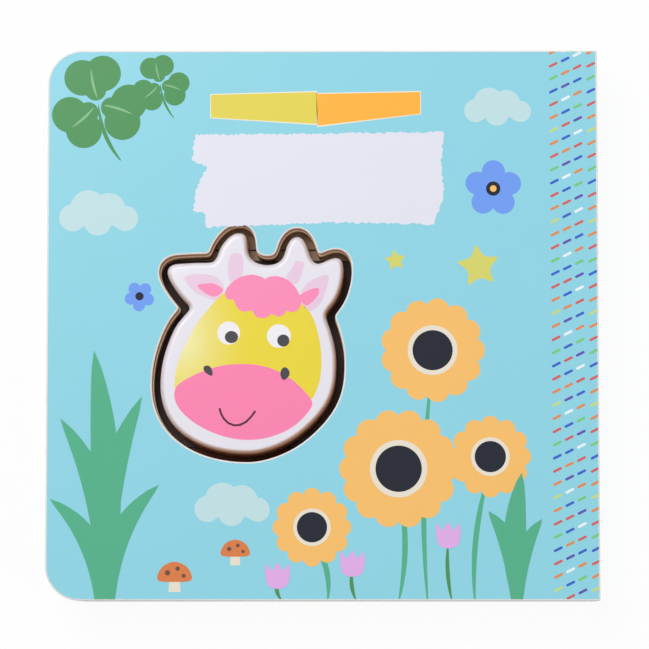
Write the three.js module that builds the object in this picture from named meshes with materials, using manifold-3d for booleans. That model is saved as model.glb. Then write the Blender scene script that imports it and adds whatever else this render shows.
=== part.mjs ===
// Press-and-hear board book for small children, lying on its back cover.
// Units are millimetres. X runs from the fore edge to the spine, Y from the tail to the head of the
// cover, Z from the back cover up to the front cover. The origin is the middle of the back face.
import * as THREE from 'three';
import { mergeVertices } from 'three/addons/utils/BufferGeometryUtils.js';
import Module from 'manifold-3d';

const wasm = await Module();
wasm.setup();

// Book boards
const bookWidth = 200;
const bookHeight = 200;
const foreEdgeRadius = 12.5;
const coverBoard = 2.5;
const spineBoard = 2;
const innerBoard = 1.5;
const leafBoard = 1.875;
const leafCount = 5;
const leafGap = 0.25;
const leafGapDepth = 1.2;
const coverGap = 0.25;
const moduleLayer = 11.5;

// Animal-head button and the well that it stands in
const headWidth = 66.4;
const headLength = 80.4;
const headX = -26.5;
const headY = -7;
const wellClearance = 3;
const skinWall = 1.25;
const rimInset = 1.9;
const rimHeight = 2.8;
const crownRise = 1.2;
const crownBelowCover = 0.35;
const pressTravel = 2.5;
const plateThickness = 2;

// Press plate stem, its snap hooks and its guide pegs
const stemRadius = 8;
const stemWall = 1.7;
const hookReach = 1.1;
const hookHeight = 1.2;
const stemSlotWidth = 2;
const pinRadius = 2.5;
const pinSetback = 0.5;
const guidePegRadius = 1.5;
const guidePegOffset = 20;

// Sound module case
const caseWidth = 136;
const caseLength = 72;
const caseX = 0;
const caseY = -8;
const caseRadius = 6;
const caseWall = 1.5;
const caseFit = 0.5;
const lidRibHeight = 1.5;
const lidRibWall = 1.2;
const postRadius = 3;
const postInset = 6.5;
const postJointHeight = 4;
const counterboreRadius = 2.3;
const counterboreDepth = 1.4;

// Circuit board and what is on it
const boardWidth = 54;
const boardLength = 34;
const boardX = -19;
const boardY = 0;
const boardThickness = 1;
const boardLift = 3;
const boardPostInset = 3.5;
const boardPostRadius = 2;
const boardPegRadius = 0.9;
const blobX = 11;
const blobY = 6;
const blobRadius = 4.5;
const blobHeight = 1.5;
const capacitorX = 17;
const capacitorY = -12;
const capacitorRim = 0.4;
const capacitorRadius = 2.5;
const capacitorHeight = 3.6;
const resistorX = 2;
const resistorY = -13.5;
const resistorLength = 3.2;
const resistorWidth = 1.6;
const resistorHeight = 0.6;
const resistorPitch = 4;
const resistorCount = 3;
const domeRadius = 6.5;
const domeWall = 0.6;

// Loudspeaker
const speakerInset = 32;
const speakerX = caseX + caseWidth / 2 - speakerInset;
const speakerY = 8;
const speakerRadius = 15;
const speakerFlange = 1;
const gasketThickness = 0.75;
const gasketWidth = 2.2;
const speakerDepth = 4.6;
const speakerNeckRadius = 8;
const coneWall = 0.4;
const coneSurround = 2;
const coilRadius = 4;
const coilWall = 1;
const domeCapRadius = 2.6;
const domeCapRise = 0.6;
const speakerPlate = 0.5;
const speakerBore = 4.5;
const magnetRadius = 7;
const magnetThickness = 2.75;
const seatWall = 1.2;
const seatHeight = 2.5;
const grillePitch = 4.2;
const grilleRings = 2;
const grilleHoleRadius = 1.1;

// Battery bay with three button cells side by side
const bayInset = 41;
const bayX = caseX + caseWidth / 2 - bayInset;
const bayY = -26;
const cellDiameter = 11.6;
const cellHeight = 5.4;
const cellSpacing = 1.8;
const cellCount = 3;
const cellEdge = 0.3;
const cellCrimp = 0.8;
const bayWall = 1.2;
const bayRoof = 1;
const bayMargin = 0.5;
const contactThickness = 0.4;
const contactWidth = 4;
const contactTab = 3;
const contactLap = 2;
const tailWidth = 2;
const tailHeight = 0.8;
const doorThickness = 1.5;
const doorRecess = 0.4;
const doorLedge = 2;
const doorLug = 8;
const doorRadius = 2;
const bezelWall = 1.6;

// Slide switch, worked from the back
const switchX = 2;
const switchY = 6;
const switchTravel = 3;
const switchWidth = 5.2;
const switchLength = 9.6;
const switchWall = 0.6;
const sliderWidth = 3;
const sliderLength = 4.4;
const sliderHeight = 1.1;
const knobWidth = 1.8;
const knobLength = 2.4;
const knobRecess = 0.7;
const slotMargin = 0.6;
const fingerSlotMargin = 1.2;

// Screws and leads
const screwHeadRadius = 1.9;
const screwHeadHeight = 0.9;
const screwRadius = 0.9;
const doorScrewLength = 5;
const caseScrewLength = 7;
const screwEdge = 0.4;
const screwPoint = 0.6;
const crossWidth = 0.5;
const crossLength = 2.2;
const crossDepth = 0.5;
const leadRadius = 0.6;
const leadSteps = 10;
const leadRise = 0.5;
const leadSlack = 0.1;
const leadRun = 0.8;
const leadBend = 3;
const padInset = 3;
const padPitch = 3;
const padRise = 1.4;
const batteryPadY = -8;
const speakerPadY = 8;

// Clearances
const fit = 0.3;
const pilotClearance = 0.25;
const overcut = 1;

// Levels, from the back cover up
const backInside = coverBoard;
const floorTop = backInside + caseWall;
const lidTop = backInside + moduleLayer;
const lidUnder = lidTop - caseWall;
const innerTop = lidTop + innerBoard;
const leafPitch = leafBoard + leafGap;
const pagesTop = innerTop + leafCount * leafPitch - leafGap;
const coverUnder = pagesTop + coverGap;
const coverTop = coverUnder + coverBoard;
const headBase = lidTop + pressTravel + fit;
const headTop = coverTop - crownBelowCover;
const plateTop = headBase + plateThickness;
const boardUnder = floorTop + boardLift;
const boardTop = boardUnder + boardThickness;
const stemEnd = lidUnder - fit - hookHeight;
const pinEnd = stemEnd + pinSetback;
const postJoint = floorTop + postJointHeight;
const doorInner = doorRecess + doorThickness;
const cellBottom = doorInner + fit;
const contactUnder = cellBottom + cellHeight + fit;
const bayRoofUnder = contactUnder + contactThickness;
const bayRoofTop = bayRoofUnder + bayRoof;
const tailTop = bayRoofTop + tailHeight;

// Boards share the spine's inner face and the book's outer edges
const left = -bookWidth / 2;
const right = bookWidth / 2;
const bottom = -bookHeight / 2;
const top = bookHeight / 2;
const spineInside = right - spineBoard;

// Facets
const arcSteps = 4;
const lathSteps = 20;
const smallLathSteps = 10;
const holeSteps = 8;
const outlineSteps = 3;
const outlineEasing = 2;

// Finishes
const finish = (color, roughness, metalness = 0) =>
  new THREE.MeshStandardMaterial({ color, roughness, metalness });
const printedBoard = finish(0x97d6e4, 0.3);
const greyBoard = finish(0x9a7b62, 0.9);
const whiteBoard = finish(0xe9e6df, 0.8);
const softVinyl = finish(0xe6e2ea, 0.25);
const foam = finish(0xf1e7c8, 0.95);
const whitePlastic = finish(0xe4e3de, 0.5);
const darkPlastic = finish(0x2a1b18, 0.5);
const greyPlastic = finish(0xc9ccd0, 0.45);
const boardResin = finish(0x2f6b3d, 0.55);
const blackResin = finish(0x101214, 0.4);
const siliconeRubber = finish(0xc7c4bb, 0.7);
const steel = finish(0xb9bcc0, 0.3, 1);
const springBrass = finish(0xcaa85a, 0.35, 1);
const ferrite = finish(0x4a4c50, 0.6, 0.6);
const coneFilm = finish(0x2b2b2e, 0.6);
const redLead = finish(0xc23a31, 0.5);
const blackLead = finish(0x1b1c1f, 0.5);

/** One named sub-part. */
function piece(name, geometry, material, parent) {
  const mesh = new THREE.Mesh(geometry, material);
  mesh.name = name;
  parent.add(mesh);
  return mesh;
}

/** Group whose children share a place in the cover's plane. */
function station(parent, x, y) {
  const group = new THREE.Group();
  group.position.set(x, y, 0);
  parent.add(group);
  return group;
}

/** Rectangle with a radius for each corner: lower left, lower right, upper right, upper left. */
function cornered(x0, y0, x1, y1, [lowerLeft, lowerRight, upperRight, upperLeft]) {
  const shape = new THREE.Shape();
  shape.moveTo(x0 + lowerLeft, y0);
  shape.lineTo(x1 - lowerRight, y0);
  if (lowerRight) shape.absarc(x1 - lowerRight, y0 + lowerRight, lowerRight, -Math.PI / 2, 0);
  shape.lineTo(x1, y1 - upperRight);
  if (upperRight) shape.absarc(x1 - upperRight, y1 - upperRight, upperRight, 0, Math.PI / 2);
  shape.lineTo(x0 + upperLeft, y1);
  if (upperLeft) shape.absarc(x0 + upperLeft, y1 - upperLeft, upperLeft, Math.PI / 2, Math.PI);
  shape.lineTo(x0, y0 + lowerLeft);
  if (lowerLeft) shape.absarc(x0 + lowerLeft, y0 + lowerLeft, lowerLeft, Math.PI, Math.PI * 1.5);
  return shape;
}

/** Rectangle about a point, with one radius for all its corners. */
function rectangle(x, y, width, length, radius = 0) {
  const corners = [radius, radius, radius, radius];
  return cornered(x - width / 2, y - length / 2, x + width / 2, y + length / 2, corners);
}

/** Plate of a shape between two levels, which it meets exactly. */
function slab(shape, low, high) {
  const options = { depth: 1, bevelEnabled: false, curveSegments: arcSteps };
  const geometry = new THREE.ExtrudeGeometry(shape, options);
  const position = geometry.attributes.position;
  for (let i = 0; i < position.count; i += 1) position.setZ(i, position.getZ(i) < 0.5 ? low : high);
  return geometry;
}

/** Turned piece about Z. The profile of [radius, level] pairs runs up its outer side. */
function turned(profile, steps = lathSteps) {
  const points = profile.map(([radius, level]) => new THREE.Vector2(radius, level));
  return new THREE.LatheGeometry(points, steps).rotateX(Math.PI / 2);
}

/** Ring between two radii and two levels. */
function ring(inner, outer, low, high, steps = lathSteps) {
  return turned([[inner, low], [outer, low], [outer, high], [inner, high], [inner, low]], steps);
}

/** Disc of a radius between two levels. */
function disc(radius, low, high, steps = smallLathSteps) {
  return turned([[0, low], [radius, low], [radius, high], [0, high]], steps);
}

/** Closed mesh as a solid that can be joined and cut. */
function solid(geometry) {
  const plain = geometry.clone();
  plain.deleteAttribute('normal');
  plain.deleteAttribute('uv');
  const merged = mergeVertices(plain, 1e-4);
  const corners = merged.index.array;
  const kept = [];
  for (let i = 0; i < corners.length; i += 3) {
    const [a, b, c] = corners.slice(i, i + 3);
    if (a !== b && b !== c && c !== a) kept.push(a, b, c);
  }
  const vertProperties = merged.attributes.position.array;
  const triVerts = new Uint32Array(kept);
  return new wasm.Manifold(new wasm.Mesh({ numProp: 3, vertProperties, triVerts }));
}

/** Solid back as a mesh geometry. */
function mesh(body) {
  const { vertProperties, triVerts } = body.getMesh();
  const geometry = new THREE.BufferGeometry();
  geometry.setAttribute('position', new THREE.BufferAttribute(vertProperties, 3));
  geometry.setIndex(new THREE.BufferAttribute(triVerts, 1));
  geometry.computeVertexNormals();
  return geometry;
}

const join = (body, ...added) => added.reduce((all, one) => all.add(solid(one)), body);
const cut = (body, ...removed) => removed.reduce((rest, one) => rest.subtract(solid(one)), body);

/** Outline of the animal's head about its middle, clockwise, eased so that it bends evenly. */
function headOutline() {
  const leftEar = [[-21.5, 12.9], [-26.2, 19.4], [-29.4, 24.6], [-27.6, 28.5], [-20.4, 29.2]];
  const leftHorn = [[-13.9, 29.9], [-11.7, 33.3], [-7.9, 38], [-3.6, 40.2], [-0.7, 37.6], [-0.1, 33.3]];
  const brow = [[2.2, 29.9], [6.7, 28.5], [11, 29.9]];
  const rightHorn = [[13.5, 34], [17.3, 38.2], [21, 35.7], [22.9, 30.9]];
  const rightEar = [[25.3, 28.6], [29.4, 29.9], [32.9, 29.6], [34, 25.4], [32, 17]];
  const rightCheek = [[28, 10.2], [29.4, 2.9], [31.3, -6.7], [30.4, -15.4], [26.9, -24.4]];
  const chin = [[20.4, -32.7], [11.3, -38], [0, -40.2], [-14.6, -37.4], [-25, -31.2]];
  const leftCheek = [[-30.8, -24], [-32.4, -16.6], [-30.7, -6.9], [-26.8, 4.4]];
  const drawn = [leftEar, leftHorn, brow, rightHorn, rightEar, rightCheek, chin, leftCheek].flat();
  const drawnBox = new THREE.Box2().setFromPoints(drawn.map(([x, y]) => new THREE.Vector2(x, y)));
  const drawnSize = drawnBox.getSize(new THREE.Vector2());
  const stretch = ([x, y]) =>
    new THREE.Vector3((x * headWidth) / drawnSize.x, (y * headLength) / drawnSize.y, 0);
  const curve = new THREE.CatmullRomCurve3(drawn.map(stretch), true, 'centripetal');
  let points = curve.getPoints(drawn.length * outlineSteps).slice(0, -1);
  for (let pass = 0; pass < outlineEasing; pass += 1) {
    points = points.map((point, i) => {
      const before = points[(i + points.length - 1) % points.length];
      const after = points[(i + 1) % points.length];
      return before.clone().add(after).addScaledVector(point, 2).divideScalar(4);
    });
  }
  return points.map(({ x, y }) => new THREE.Vector2(x, y)).reverse();
}

/** Distance from a point to a closed outline. */
function distanceTo(outline, point) {
  const line = new THREE.Line3();
  const near = new THREE.Vector3();
  const from = new THREE.Vector3(point.x, point.y, 0);
  return Math.min(...outline.map((start, i) => {
    const end = outline[(i + 1) % outline.length];
    line.start.set(start.x, start.y, 0);
    line.end.set(end.x, end.y, 0);
    return line.closestPointToPoint(from, true, near).distanceTo(from);
  }));
}

/** Outline grown by a distance, or shrunk by a negative one, with the loops in tight corners left out. */
function grown(outline, distance) {
  const slack = 0.02;
  const moved = outline.map((point, i) => {
    const before = outline[(i + outline.length - 1) % outline.length];
    const after = outline[(i + 1) % outline.length];
    const along = after.clone().sub(before).normalize();
    return new THREE.Vector2(point.x + along.y * distance, point.y - along.x * distance);
  });
  return moved.filter((point) => distanceTo(outline, point) > Math.abs(distance) - slack);
}

const head = headOutline();

/** Crowned cushion in the head's outline, shrunk by an inset on its sides and top, from a level up. */
function cushion(inset, base, rimSteps, crownSteps) {
  const bevelSize = rimInset - inset;
  const bevelThickness = rimHeight - inset;
  const shape = new THREE.Shape(grown(head, -inset));
  const crownEdge = headTop - inset - crownRise;
  const options = {
    depth: headTop - inset - base,
    bevelSize,
    bevelThickness,
    bevelOffset: -bevelSize,
    bevelSegments: rimSteps,
  };
  const blank = new THREE.ExtrudeGeometry(shape, options);
  blank.translate(0, 0, base - bevelThickness);
  const reach = Math.hypot(headWidth, headLength) / 2;
  const profile = [[0, base], [reach, base], [reach, crownEdge]];
  for (let i = 1; i <= crownSteps; i += 1) {
    const share = 1 - i / crownSteps;
    profile.push([reach * share, crownEdge + crownRise * (1 - share * share)]);
  }
  return solid(blank).intersect(solid(turned(profile)));
}

/** Board of the book between two levels, with the round corners of the fore edge. */
function board(low, high, edge = right, inset = 0) {
  const radius = foreEdgeRadius - inset;
  const corners = [radius, 0, 0, radius];
  return slab(cornered(left + inset, bottom + inset, edge, top - inset, corners), low, high);
}

/** Die-cut through boards between two levels, in the outline of the well. */
function wellCut(low, high) {
  const shape = new THREE.Shape(grown(head, wellClearance));
  return slab(shape, low - overcut, high + overcut).translate(headX, headY, 0);
}

/** Places of the round holes in front of the loudspeaker. */
function grillePlaces() {
  const places = [[speakerX, speakerY]];
  for (let row = 1; row <= grilleRings; row += 1) {
    for (let i = 0; i < row * 6; i += 1) {
      const turn = (i / (row * 6)) * Math.PI * 2;
      const reach = row * grillePitch;
      places.push([speakerX + reach * Math.cos(turn), speakerY + reach * Math.sin(turn)]);
    }
  }
  return places;
}

const grilleHoles = (low, high) =>
  grillePlaces().map(([x, y]) => disc(grilleHoleRadius, low, high, holeSteps).translate(x, y, 0));

// Battery bay sizes that the case, its door and the back cover share
const cellPitch = cellDiameter + cellSpacing;
const pocketWidth = cellPitch * cellCount + cellSpacing;
const pocketLength = cellDiameter + 2 * bayMargin;
const doorX = bayX - doorLug / 2 + doorLedge / 2;
const doorWidth = pocketWidth + doorLedge + doorLug;
const doorLength = pocketLength + 2 * doorLedge;
const doorScrewX = bayX - pocketWidth / 2 - doorLug / 2;
const bezelWidth = doorWidth + 2 * (fit + bezelWall);
const bezelLength = doorLength + 2 * (fit + bezelWall);
const bezelRadius = doorRadius + fit + bezelWall;

// Switch openings in the case and in the back cover
const slotLength = knobLength + switchTravel + 2 * slotMargin;
const slotWidth = knobWidth + 2 * slotMargin;
const fingerSlotLength = slotLength + 2 * fingerSlotMargin;
const fingerSlotWidth = slotWidth + 2 * fingerSlotMargin;

function frontCover(parent) {
  const body = cut(solid(board(coverUnder, coverTop)), wellCut(coverUnder, coverTop));
  piece('front_cover', mesh(body), printedBoard, parent);
}

function spine(parent) {
  const shape = cornered(spineInside, bottom, right, top, [0, 0, 0, 0]);
  piece('spine', slab(shape, backInside, pagesTop), printedBoard, parent);
}

/** Back cover with its battery window, switch slot and loudspeaker holes. */
function backCover(parent) {
  const low = -overcut;
  const high = backInside + overcut;
  const window = rectangle(doorX, bayY, bezelWidth + 2 * fit, bezelLength + 2 * fit, bezelRadius + fit);
  const slot = rectangle(switchX, switchY, fingerSlotWidth, fingerSlotLength, fingerSlotWidth / 2);
  const body = cut(
    solid(board(0, backInside)),
    slab(window, low, high),
    slab(slot, low, high),
    ...grilleHoles(low, high),
  );
  piece('back_cover', mesh(body), printedBoard, parent);
}

/** Leaves glued into one block, with the dark line between each two at the trimmed edges. */
function pageBlock(parent) {
  let body = solid(board(innerTop, pagesTop, spineInside, leafGapDepth));
  for (let leaf = 0; leaf < leafCount; leaf += 1) {
    const low = innerTop + leaf * leafPitch;
    const high = leaf === leafCount - 1 ? pagesTop : low + leafBoard;
    body = join(body, board(low, high, spineInside));
  }
  piece('page_block', mesh(cut(body, wellCut(innerTop, pagesTop))), whiteBoard, parent);
}

function innerBoardPiece(parent) {
  const body = cut(solid(board(lidTop, innerTop, spineInside)), wellCut(lidTop, innerTop));
  piece('inner_board', mesh(body), greyBoard, parent);
}

/** Thick frame that fills the module layer round the case. */
function moduleFrame(parent) {
  const width = caseWidth + 2 * caseFit;
  const length = caseLength + 2 * caseFit;
  const cavity = rectangle(caseX, caseY, width, length, caseRadius + caseFit);
  const body = cut(
    solid(board(backInside, lidTop, spineInside)),
    slab(cavity, backInside - overcut, lidTop + overcut),
  );
  piece('module_frame', mesh(body), greyBoard, parent);
}

/** Moulded vinyl face: a thin crowned shell, open below. */
function headSkin(parent) {
  const hollow = cushion(skinWall, headBase - overcut, 1, 3);
  piece('head_skin', mesh(cushion(0, headBase, 3, 5).subtract(hollow)), softVinyl, parent);
}

/** Foam pad between the vinyl and the press plate. */
function headFoam(parent) {
  piece('head_foam', mesh(cushion(skinWall + fit, plateTop, 1, 3)), foam, parent);
}

/** Press plate with its hooked stem, contact pin and two guide pegs. */
function headPlate(parent) {
  const outline = new THREE.Shape(grown(head, -(skinWall + fit)));
  const bore = stemRadius - stemWall;
  const hook = stemRadius + hookReach;
  const stem = turned([
    [bore, stemEnd], [stemRadius, stemEnd], [hook, stemEnd + hookHeight / 2],
    [hook, stemEnd + hookHeight], [stemRadius, stemEnd + hookHeight],
    [stemRadius, headBase + fit], [bore, headBase + fit], [bore, stemEnd],
  ]);
  const pin = disc(pinRadius, pinEnd, headBase + fit);
  const pegs = [-1, 1].map((side) =>
    disc(guidePegRadius, pinEnd, headBase + fit).translate(0, side * guidePegOffset, 0));
  const slotLow = stemEnd - overcut;
  const ring0 = stemRadius + hookReach + overcut;
  const slots = [0, 1, 2, 3].map((quarter) => {
    const shape = cornered(pinRadius + fit, -stemSlotWidth / 2, ring0, stemSlotWidth / 2, [0, 0, 0, 0]);
    return slab(shape, slotLow, lidTop).rotateZ((quarter + 0.5) * (Math.PI / 2));
  });
  const slotted = cut(solid(stem), ...slots);
  const body = join(slotted, slab(outline, headBase, plateTop), pin, ...pegs);
  piece('head_plate', mesh(body), whitePlastic, parent);
}

/** Hollow rubber dome that closes the contact and pushes the head back up. */
function rubberDome(parent) {
  const height = pinEnd - fit - boardTop;
  const crown = pinRadius + domeWall;
  piece('rubber_dome', turned([
    [domeRadius - 2 * domeWall, boardTop], [domeRadius + domeWall, boardTop],
    [domeRadius + domeWall, boardTop + domeWall], [domeRadius - domeWall, boardTop + domeWall],
    [crown, boardTop + height - domeWall], [crown, boardTop + height], [0, boardTop + height],
    [0, boardTop + height - 2 * domeWall], [crown - domeWall, boardTop + height - 2 * domeWall],
    [domeRadius - 2 * domeWall, boardTop],
  ]), siliconeRubber, parent);
}

/** Places of the four posts that hold the two halves of the case together. */
function postPlaces() {
  const x = caseWidth / 2 - postInset;
  const y = caseLength / 2 - postInset;
  return [[-x, -y], [x, -y], [x, y], [-x, y]].map(([dx, dy]) => [caseX + dx, caseY + dy]);
}

/** Places of the four posts under the circuit board. */
function boardPostPlaces() {
  const x = boardWidth / 2 - boardPostInset;
  const y = boardLength / 2 - boardPostInset;
  return [[-x, -y], [x, -y], [x, y], [-x, y]].map(([dx, dy]) => [boardX + dx, boardY + dy]);
}

/** Lower half of the case: tray, posts, loudspeaker seat and battery bay with its bezel. */
function caseBack(parent) {
  const width = caseWidth - 2 * caseWall;
  const length = caseLength - 2 * caseWall;
  const outer = slab(rectangle(caseX, caseY, caseWidth, caseLength, caseRadius), backInside, lidUnder);
  const inner = rectangle(caseX, caseY, width, length, caseRadius - caseWall);
  const tray = cut(solid(outer), slab(inner, floorTop, lidUnder + overcut));
  const posts = postPlaces().map(([x, y]) =>
    disc(postRadius, floorTop - fit, postJoint).translate(x, y, 0));
  const boardPosts = boardPostPlaces().flatMap(([x, y]) => [
    disc(boardPostRadius, floorTop - fit, boardUnder).translate(x, y, 0),
    disc(boardPegRadius, floorTop, boardTop + fit).translate(x, y, 0),
  ]);
  const seat = ring(speakerRadius + fit, speakerRadius + fit + seatWall, floorTop - fit,
    floorTop + seatHeight).translate(speakerX, speakerY, 0);
  const wallWidth = pocketWidth + 2 * bayWall;
  const wallLength = pocketLength + 2 * bayWall;
  const bay = slab(rectangle(bayX, bayY, wallWidth, wallLength, bayWall), floorTop - fit, bayRoofTop);
  const bezelShape = rectangle(doorX, bayY, bezelWidth, bezelLength, bezelRadius);
  const bezel = slab(bezelShape, doorRecess, backInside + fit);
  const boss = disc(postRadius, floorTop - fit, bayRoofTop).translate(doorScrewX, bayY, 0);
  const body = join(tray, ...posts, ...boardPosts, seat, bay, bezel, boss);
  const doorSeat = rectangle(doorX, bayY, doorWidth + 2 * fit, doorLength + 2 * fit, doorRadius + fit);
  const tailSlots = [-1, 1].map((side) => tailPlace(side)).map(([x, y]) =>
    slab(rectangle(x, y, contactThickness + 2 * fit, tailWidth + 2 * fit), bayRoofUnder - fit,
      bayRoofTop + overcut));
  const screwHoles = postPlaces().flatMap(([x, y]) => [
    disc(counterboreRadius, backInside - overcut, backInside + counterboreDepth).translate(x, y, 0),
    disc(screwRadius + pilotClearance, backInside, postJoint + overcut).translate(x, y, 0),
  ]);
  const doorPilot = disc(screwRadius + pilotClearance, doorInner - overcut,
    doorInner + doorScrewLength + fit).translate(doorScrewX, bayY, 0);
  const slot = rectangle(switchX, switchY, slotWidth, slotLength);
  piece('case_back', mesh(cut(
    body,
    slab(doorSeat, doorRecess - overcut, doorInner),
    slab(rectangle(bayX, bayY, pocketWidth, pocketLength), doorInner - fit, bayRoofUnder),
    slab(slot, backInside - overcut, floorTop + overcut),
    ...tailSlots,
    ...screwHoles,
    doorPilot,
    ...grilleHoles(backInside - overcut, floorTop + overcut),
  )), greyPlastic, parent);
}

/** Upper half of the case: lid with its locating rib, pegs and the guide holes for the head. */
function caseFront(parent) {
  const lid = slab(rectangle(caseX, caseY, caseWidth, caseLength, caseRadius), lidUnder, lidTop);
  const ribWidth = caseWidth - 2 * (caseWall + fit);
  const ribLength = caseLength - 2 * (caseWall + fit);
  const ribRadius = caseRadius - caseWall - fit;
  const ribOuter = rectangle(caseX, caseY, ribWidth, ribLength, ribRadius);
  const ribInner = rectangle(caseX, caseY, ribWidth - 2 * lidRibWall, ribLength - 2 * lidRibWall,
    ribRadius - lidRibWall);
  const rib = cut(
    solid(slab(ribOuter, lidUnder - lidRibHeight, lidUnder + fit)),
    slab(ribInner, lidUnder - lidRibHeight - overcut, lidUnder),
  );
  const pegs = postPlaces().map(([x, y]) =>
    disc(postRadius, postJoint + fit, lidUnder + fit).translate(x, y, 0));
  const pilots = postPlaces().map(([x, y]) =>
    disc(screwRadius + pilotClearance, postJoint, backInside + counterboreDepth + caseScrewLength + fit)
      .translate(x, y, 0));
  const low = lidUnder - overcut;
  const high = lidTop + overcut;
  const stemHole = disc(stemRadius + 2 * fit, low, high, lathSteps).translate(headX, headY, 0);
  const pegHoles = [-1, 1].map((side) =>
    disc(guidePegRadius + fit, low, high).translate(headX, headY + side * guidePegOffset, 0));
  const body = join(solid(lid).add(rib), ...pegs);
  piece('case_front', mesh(cut(body, ...pilots, stemHole, ...pegHoles)), darkPlastic, parent);
}

/** Circuit board, hung on its four pegs. */
function circuitBoard(parent) {
  const shape = rectangle(boardX, boardY, boardWidth, boardLength, 1);
  const holes = boardPostPlaces().map(([x, y]) =>
    disc(boardPegRadius + fit, boardUnder - overcut, boardTop + overcut).translate(x, y, 0));
  piece('circuit_board', mesh(cut(solid(slab(shape, boardUnder, boardTop)), ...holes)), boardResin, parent);
}

/** Epoxy blob over the sound chip. */
function chipBlob(parent) {
  const group = station(parent, boardX + blobX, boardY + blobY);
  piece('chip_blob', turned([
    [0, boardTop], [blobRadius, boardTop], [blobRadius * 0.92, boardTop + blobHeight * 0.45],
    [blobRadius * 0.62, boardTop + blobHeight * 0.85], [0, boardTop + blobHeight],
  ]), blackResin, group);
}

function capacitor(parent) {
  const group = station(parent, boardX + capacitorX, boardY + capacitorY);
  const high = boardTop + capacitorHeight;
  piece('capacitor', turned([
    [0, boardTop], [capacitorRadius, boardTop], [capacitorRadius, high - capacitorRim],
    [capacitorRadius - capacitorRim, high], [0, high],
  ], smallLathSteps), greyPlastic, group);
}

/** Row of small surface-mounted resistors. */
function resistors(parent) {
  for (let i = 0; i < resistorCount; i += 1) {
    const x = boardX + resistorX + i * resistorPitch;
    const group = station(parent, x, boardY + resistorY);
    const shape = rectangle(0, 0, resistorWidth, resistorLength);
    piece(`resistor_${i + 1}`, slab(shape, boardTop, boardTop + resistorHeight), blackResin, group);
  }
}

/** Loudspeaker on its foam gasket, facing the holes in the back. */
function speaker(parent) {
  const group = station(parent, speakerX, speakerY);
  const flangeLow = floorTop + gasketThickness;
  const flangeHigh = flangeLow + speakerFlange;
  const neck = flangeLow + speakerDepth;
  const rim = speakerRadius - gasketWidth;
  piece('speaker_gasket', ring(rim, speakerRadius, floorTop, flangeLow), foam, group);
  piece('speaker_frame', turned([
    [rim, flangeLow], [speakerRadius, flangeLow], [speakerRadius, flangeHigh],
    [rim + speakerPlate, flangeHigh], [speakerNeckRadius + speakerPlate, neck], [speakerBore, neck],
    [speakerBore, neck - speakerPlate], [speakerNeckRadius, neck - speakerPlate],
    [rim, flangeHigh - speakerPlate / 2], [rim, flangeLow],
  ]), steel, group);
  const coneEdge = flangeLow + fit;
  const coneNeck = neck - speakerFlange - coneWall;
  const capLow = coneEdge + domeCapRise;
  const capHigh = capLow + coneWall;
  const coilOuter = coilRadius + coilWall;
  const surround = rim - coneSurround;
  piece('speaker_cone', turned([
    [0, capLow], [domeCapRadius, capHigh], [coilRadius, coneNeck - coneWall],
    [coilOuter, coneNeck - coneWall], [surround, coneEdge], [rim - fit, coneEdge],
    [rim - fit, coneEdge + coneWall], [surround + coneWall / 2, coneEdge + coneWall],
    [coilOuter + coneWall / 2, coneNeck], [coilRadius - coneWall / 2, coneNeck],
    [domeCapRadius - coneWall / 4, capHigh + coneWall], [0, capLow + coneWall],
  ]), coneFilm, group);
  const magnetTop = neck + magnetThickness;
  piece('speaker_magnet', disc(magnetRadius, neck, magnetTop, lathSteps), ferrite, group);
}

/** X of a cell's axis. */
const cellX = (index) => bayX + (index - (cellCount - 1) / 2) * cellPitch;

/** Place of a contact's soldered tail: -1 at the screw end of the bay, 1 at the other. */
function tailPlace(side) {
  const x = bayX + side * (pocketWidth / 2 - contactThickness / 2 - fit);
  return [x, bayY + contactWidth / 2 + fit];
}

function buttonCells(parent) {
  for (let i = 0; i < cellCount; i += 1) {
    const group = station(parent, cellX(i), bayY);
    const radius = cellDiameter / 2;
    const high = cellBottom + cellHeight;
    piece(`button_cell_${i + 1}`, turned([
      [0, cellBottom], [radius - cellEdge, cellBottom], [radius, cellBottom + cellEdge],
      [radius, high - 2 * cellEdge], [radius - cellCrimp / 2, high - cellEdge],
      [radius - cellCrimp, high], [0, high],
    ]), steel, group);
  }
}

/** Spring contacts: each strip lies on one cell and turns down beside the next. */
function contacts(parent) {
  const strip = (x0, x1) =>
    slab(cornered(x0, bayY - contactWidth / 2, x1, bayY + contactWidth / 2, [0, 0, 0, 0]),
      contactUnder, bayRoofUnder);
  const tab = (x) =>
    slab(rectangle(x, bayY, contactThickness, contactWidth), contactUnder - contactTab, bayRoofUnder);
  const tail = (side) => {
    const [x, y] = tailPlace(side);
    const foot = slab(rectangle(x, bayY + contactWidth / 4 + fit / 2, contactThickness,
      contactWidth / 2 + tailWidth / 2 + fit), contactUnder, bayRoofUnder);
    return [foot, slab(rectangle(x, y, contactThickness, tailWidth), contactUnder, tailTop)];
  };
  for (let i = 0; i < cellCount - 1; i += 1) {
    const between = (cellX(i) + cellX(i + 1)) / 2;
    const body = join(solid(strip(cellX(i) - contactLap, between + contactThickness / 2)), tab(between));
    piece(`contact_link_${i + 1}`, mesh(body), springBrass, parent);
  }
  const [firstX] = tailPlace(-1);
  const positive = join(solid(tab(firstX)), ...tail(-1));
  piece('contact_positive', mesh(positive), springBrass, parent);
  const [lastX] = tailPlace(1);
  const lastStrip = strip(cellX(cellCount - 1) - contactLap, lastX + contactThickness / 2);
  const negative = join(solid(lastStrip), ...tail(1));
  piece('contact_negative', mesh(negative), springBrass, parent);
}

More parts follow.
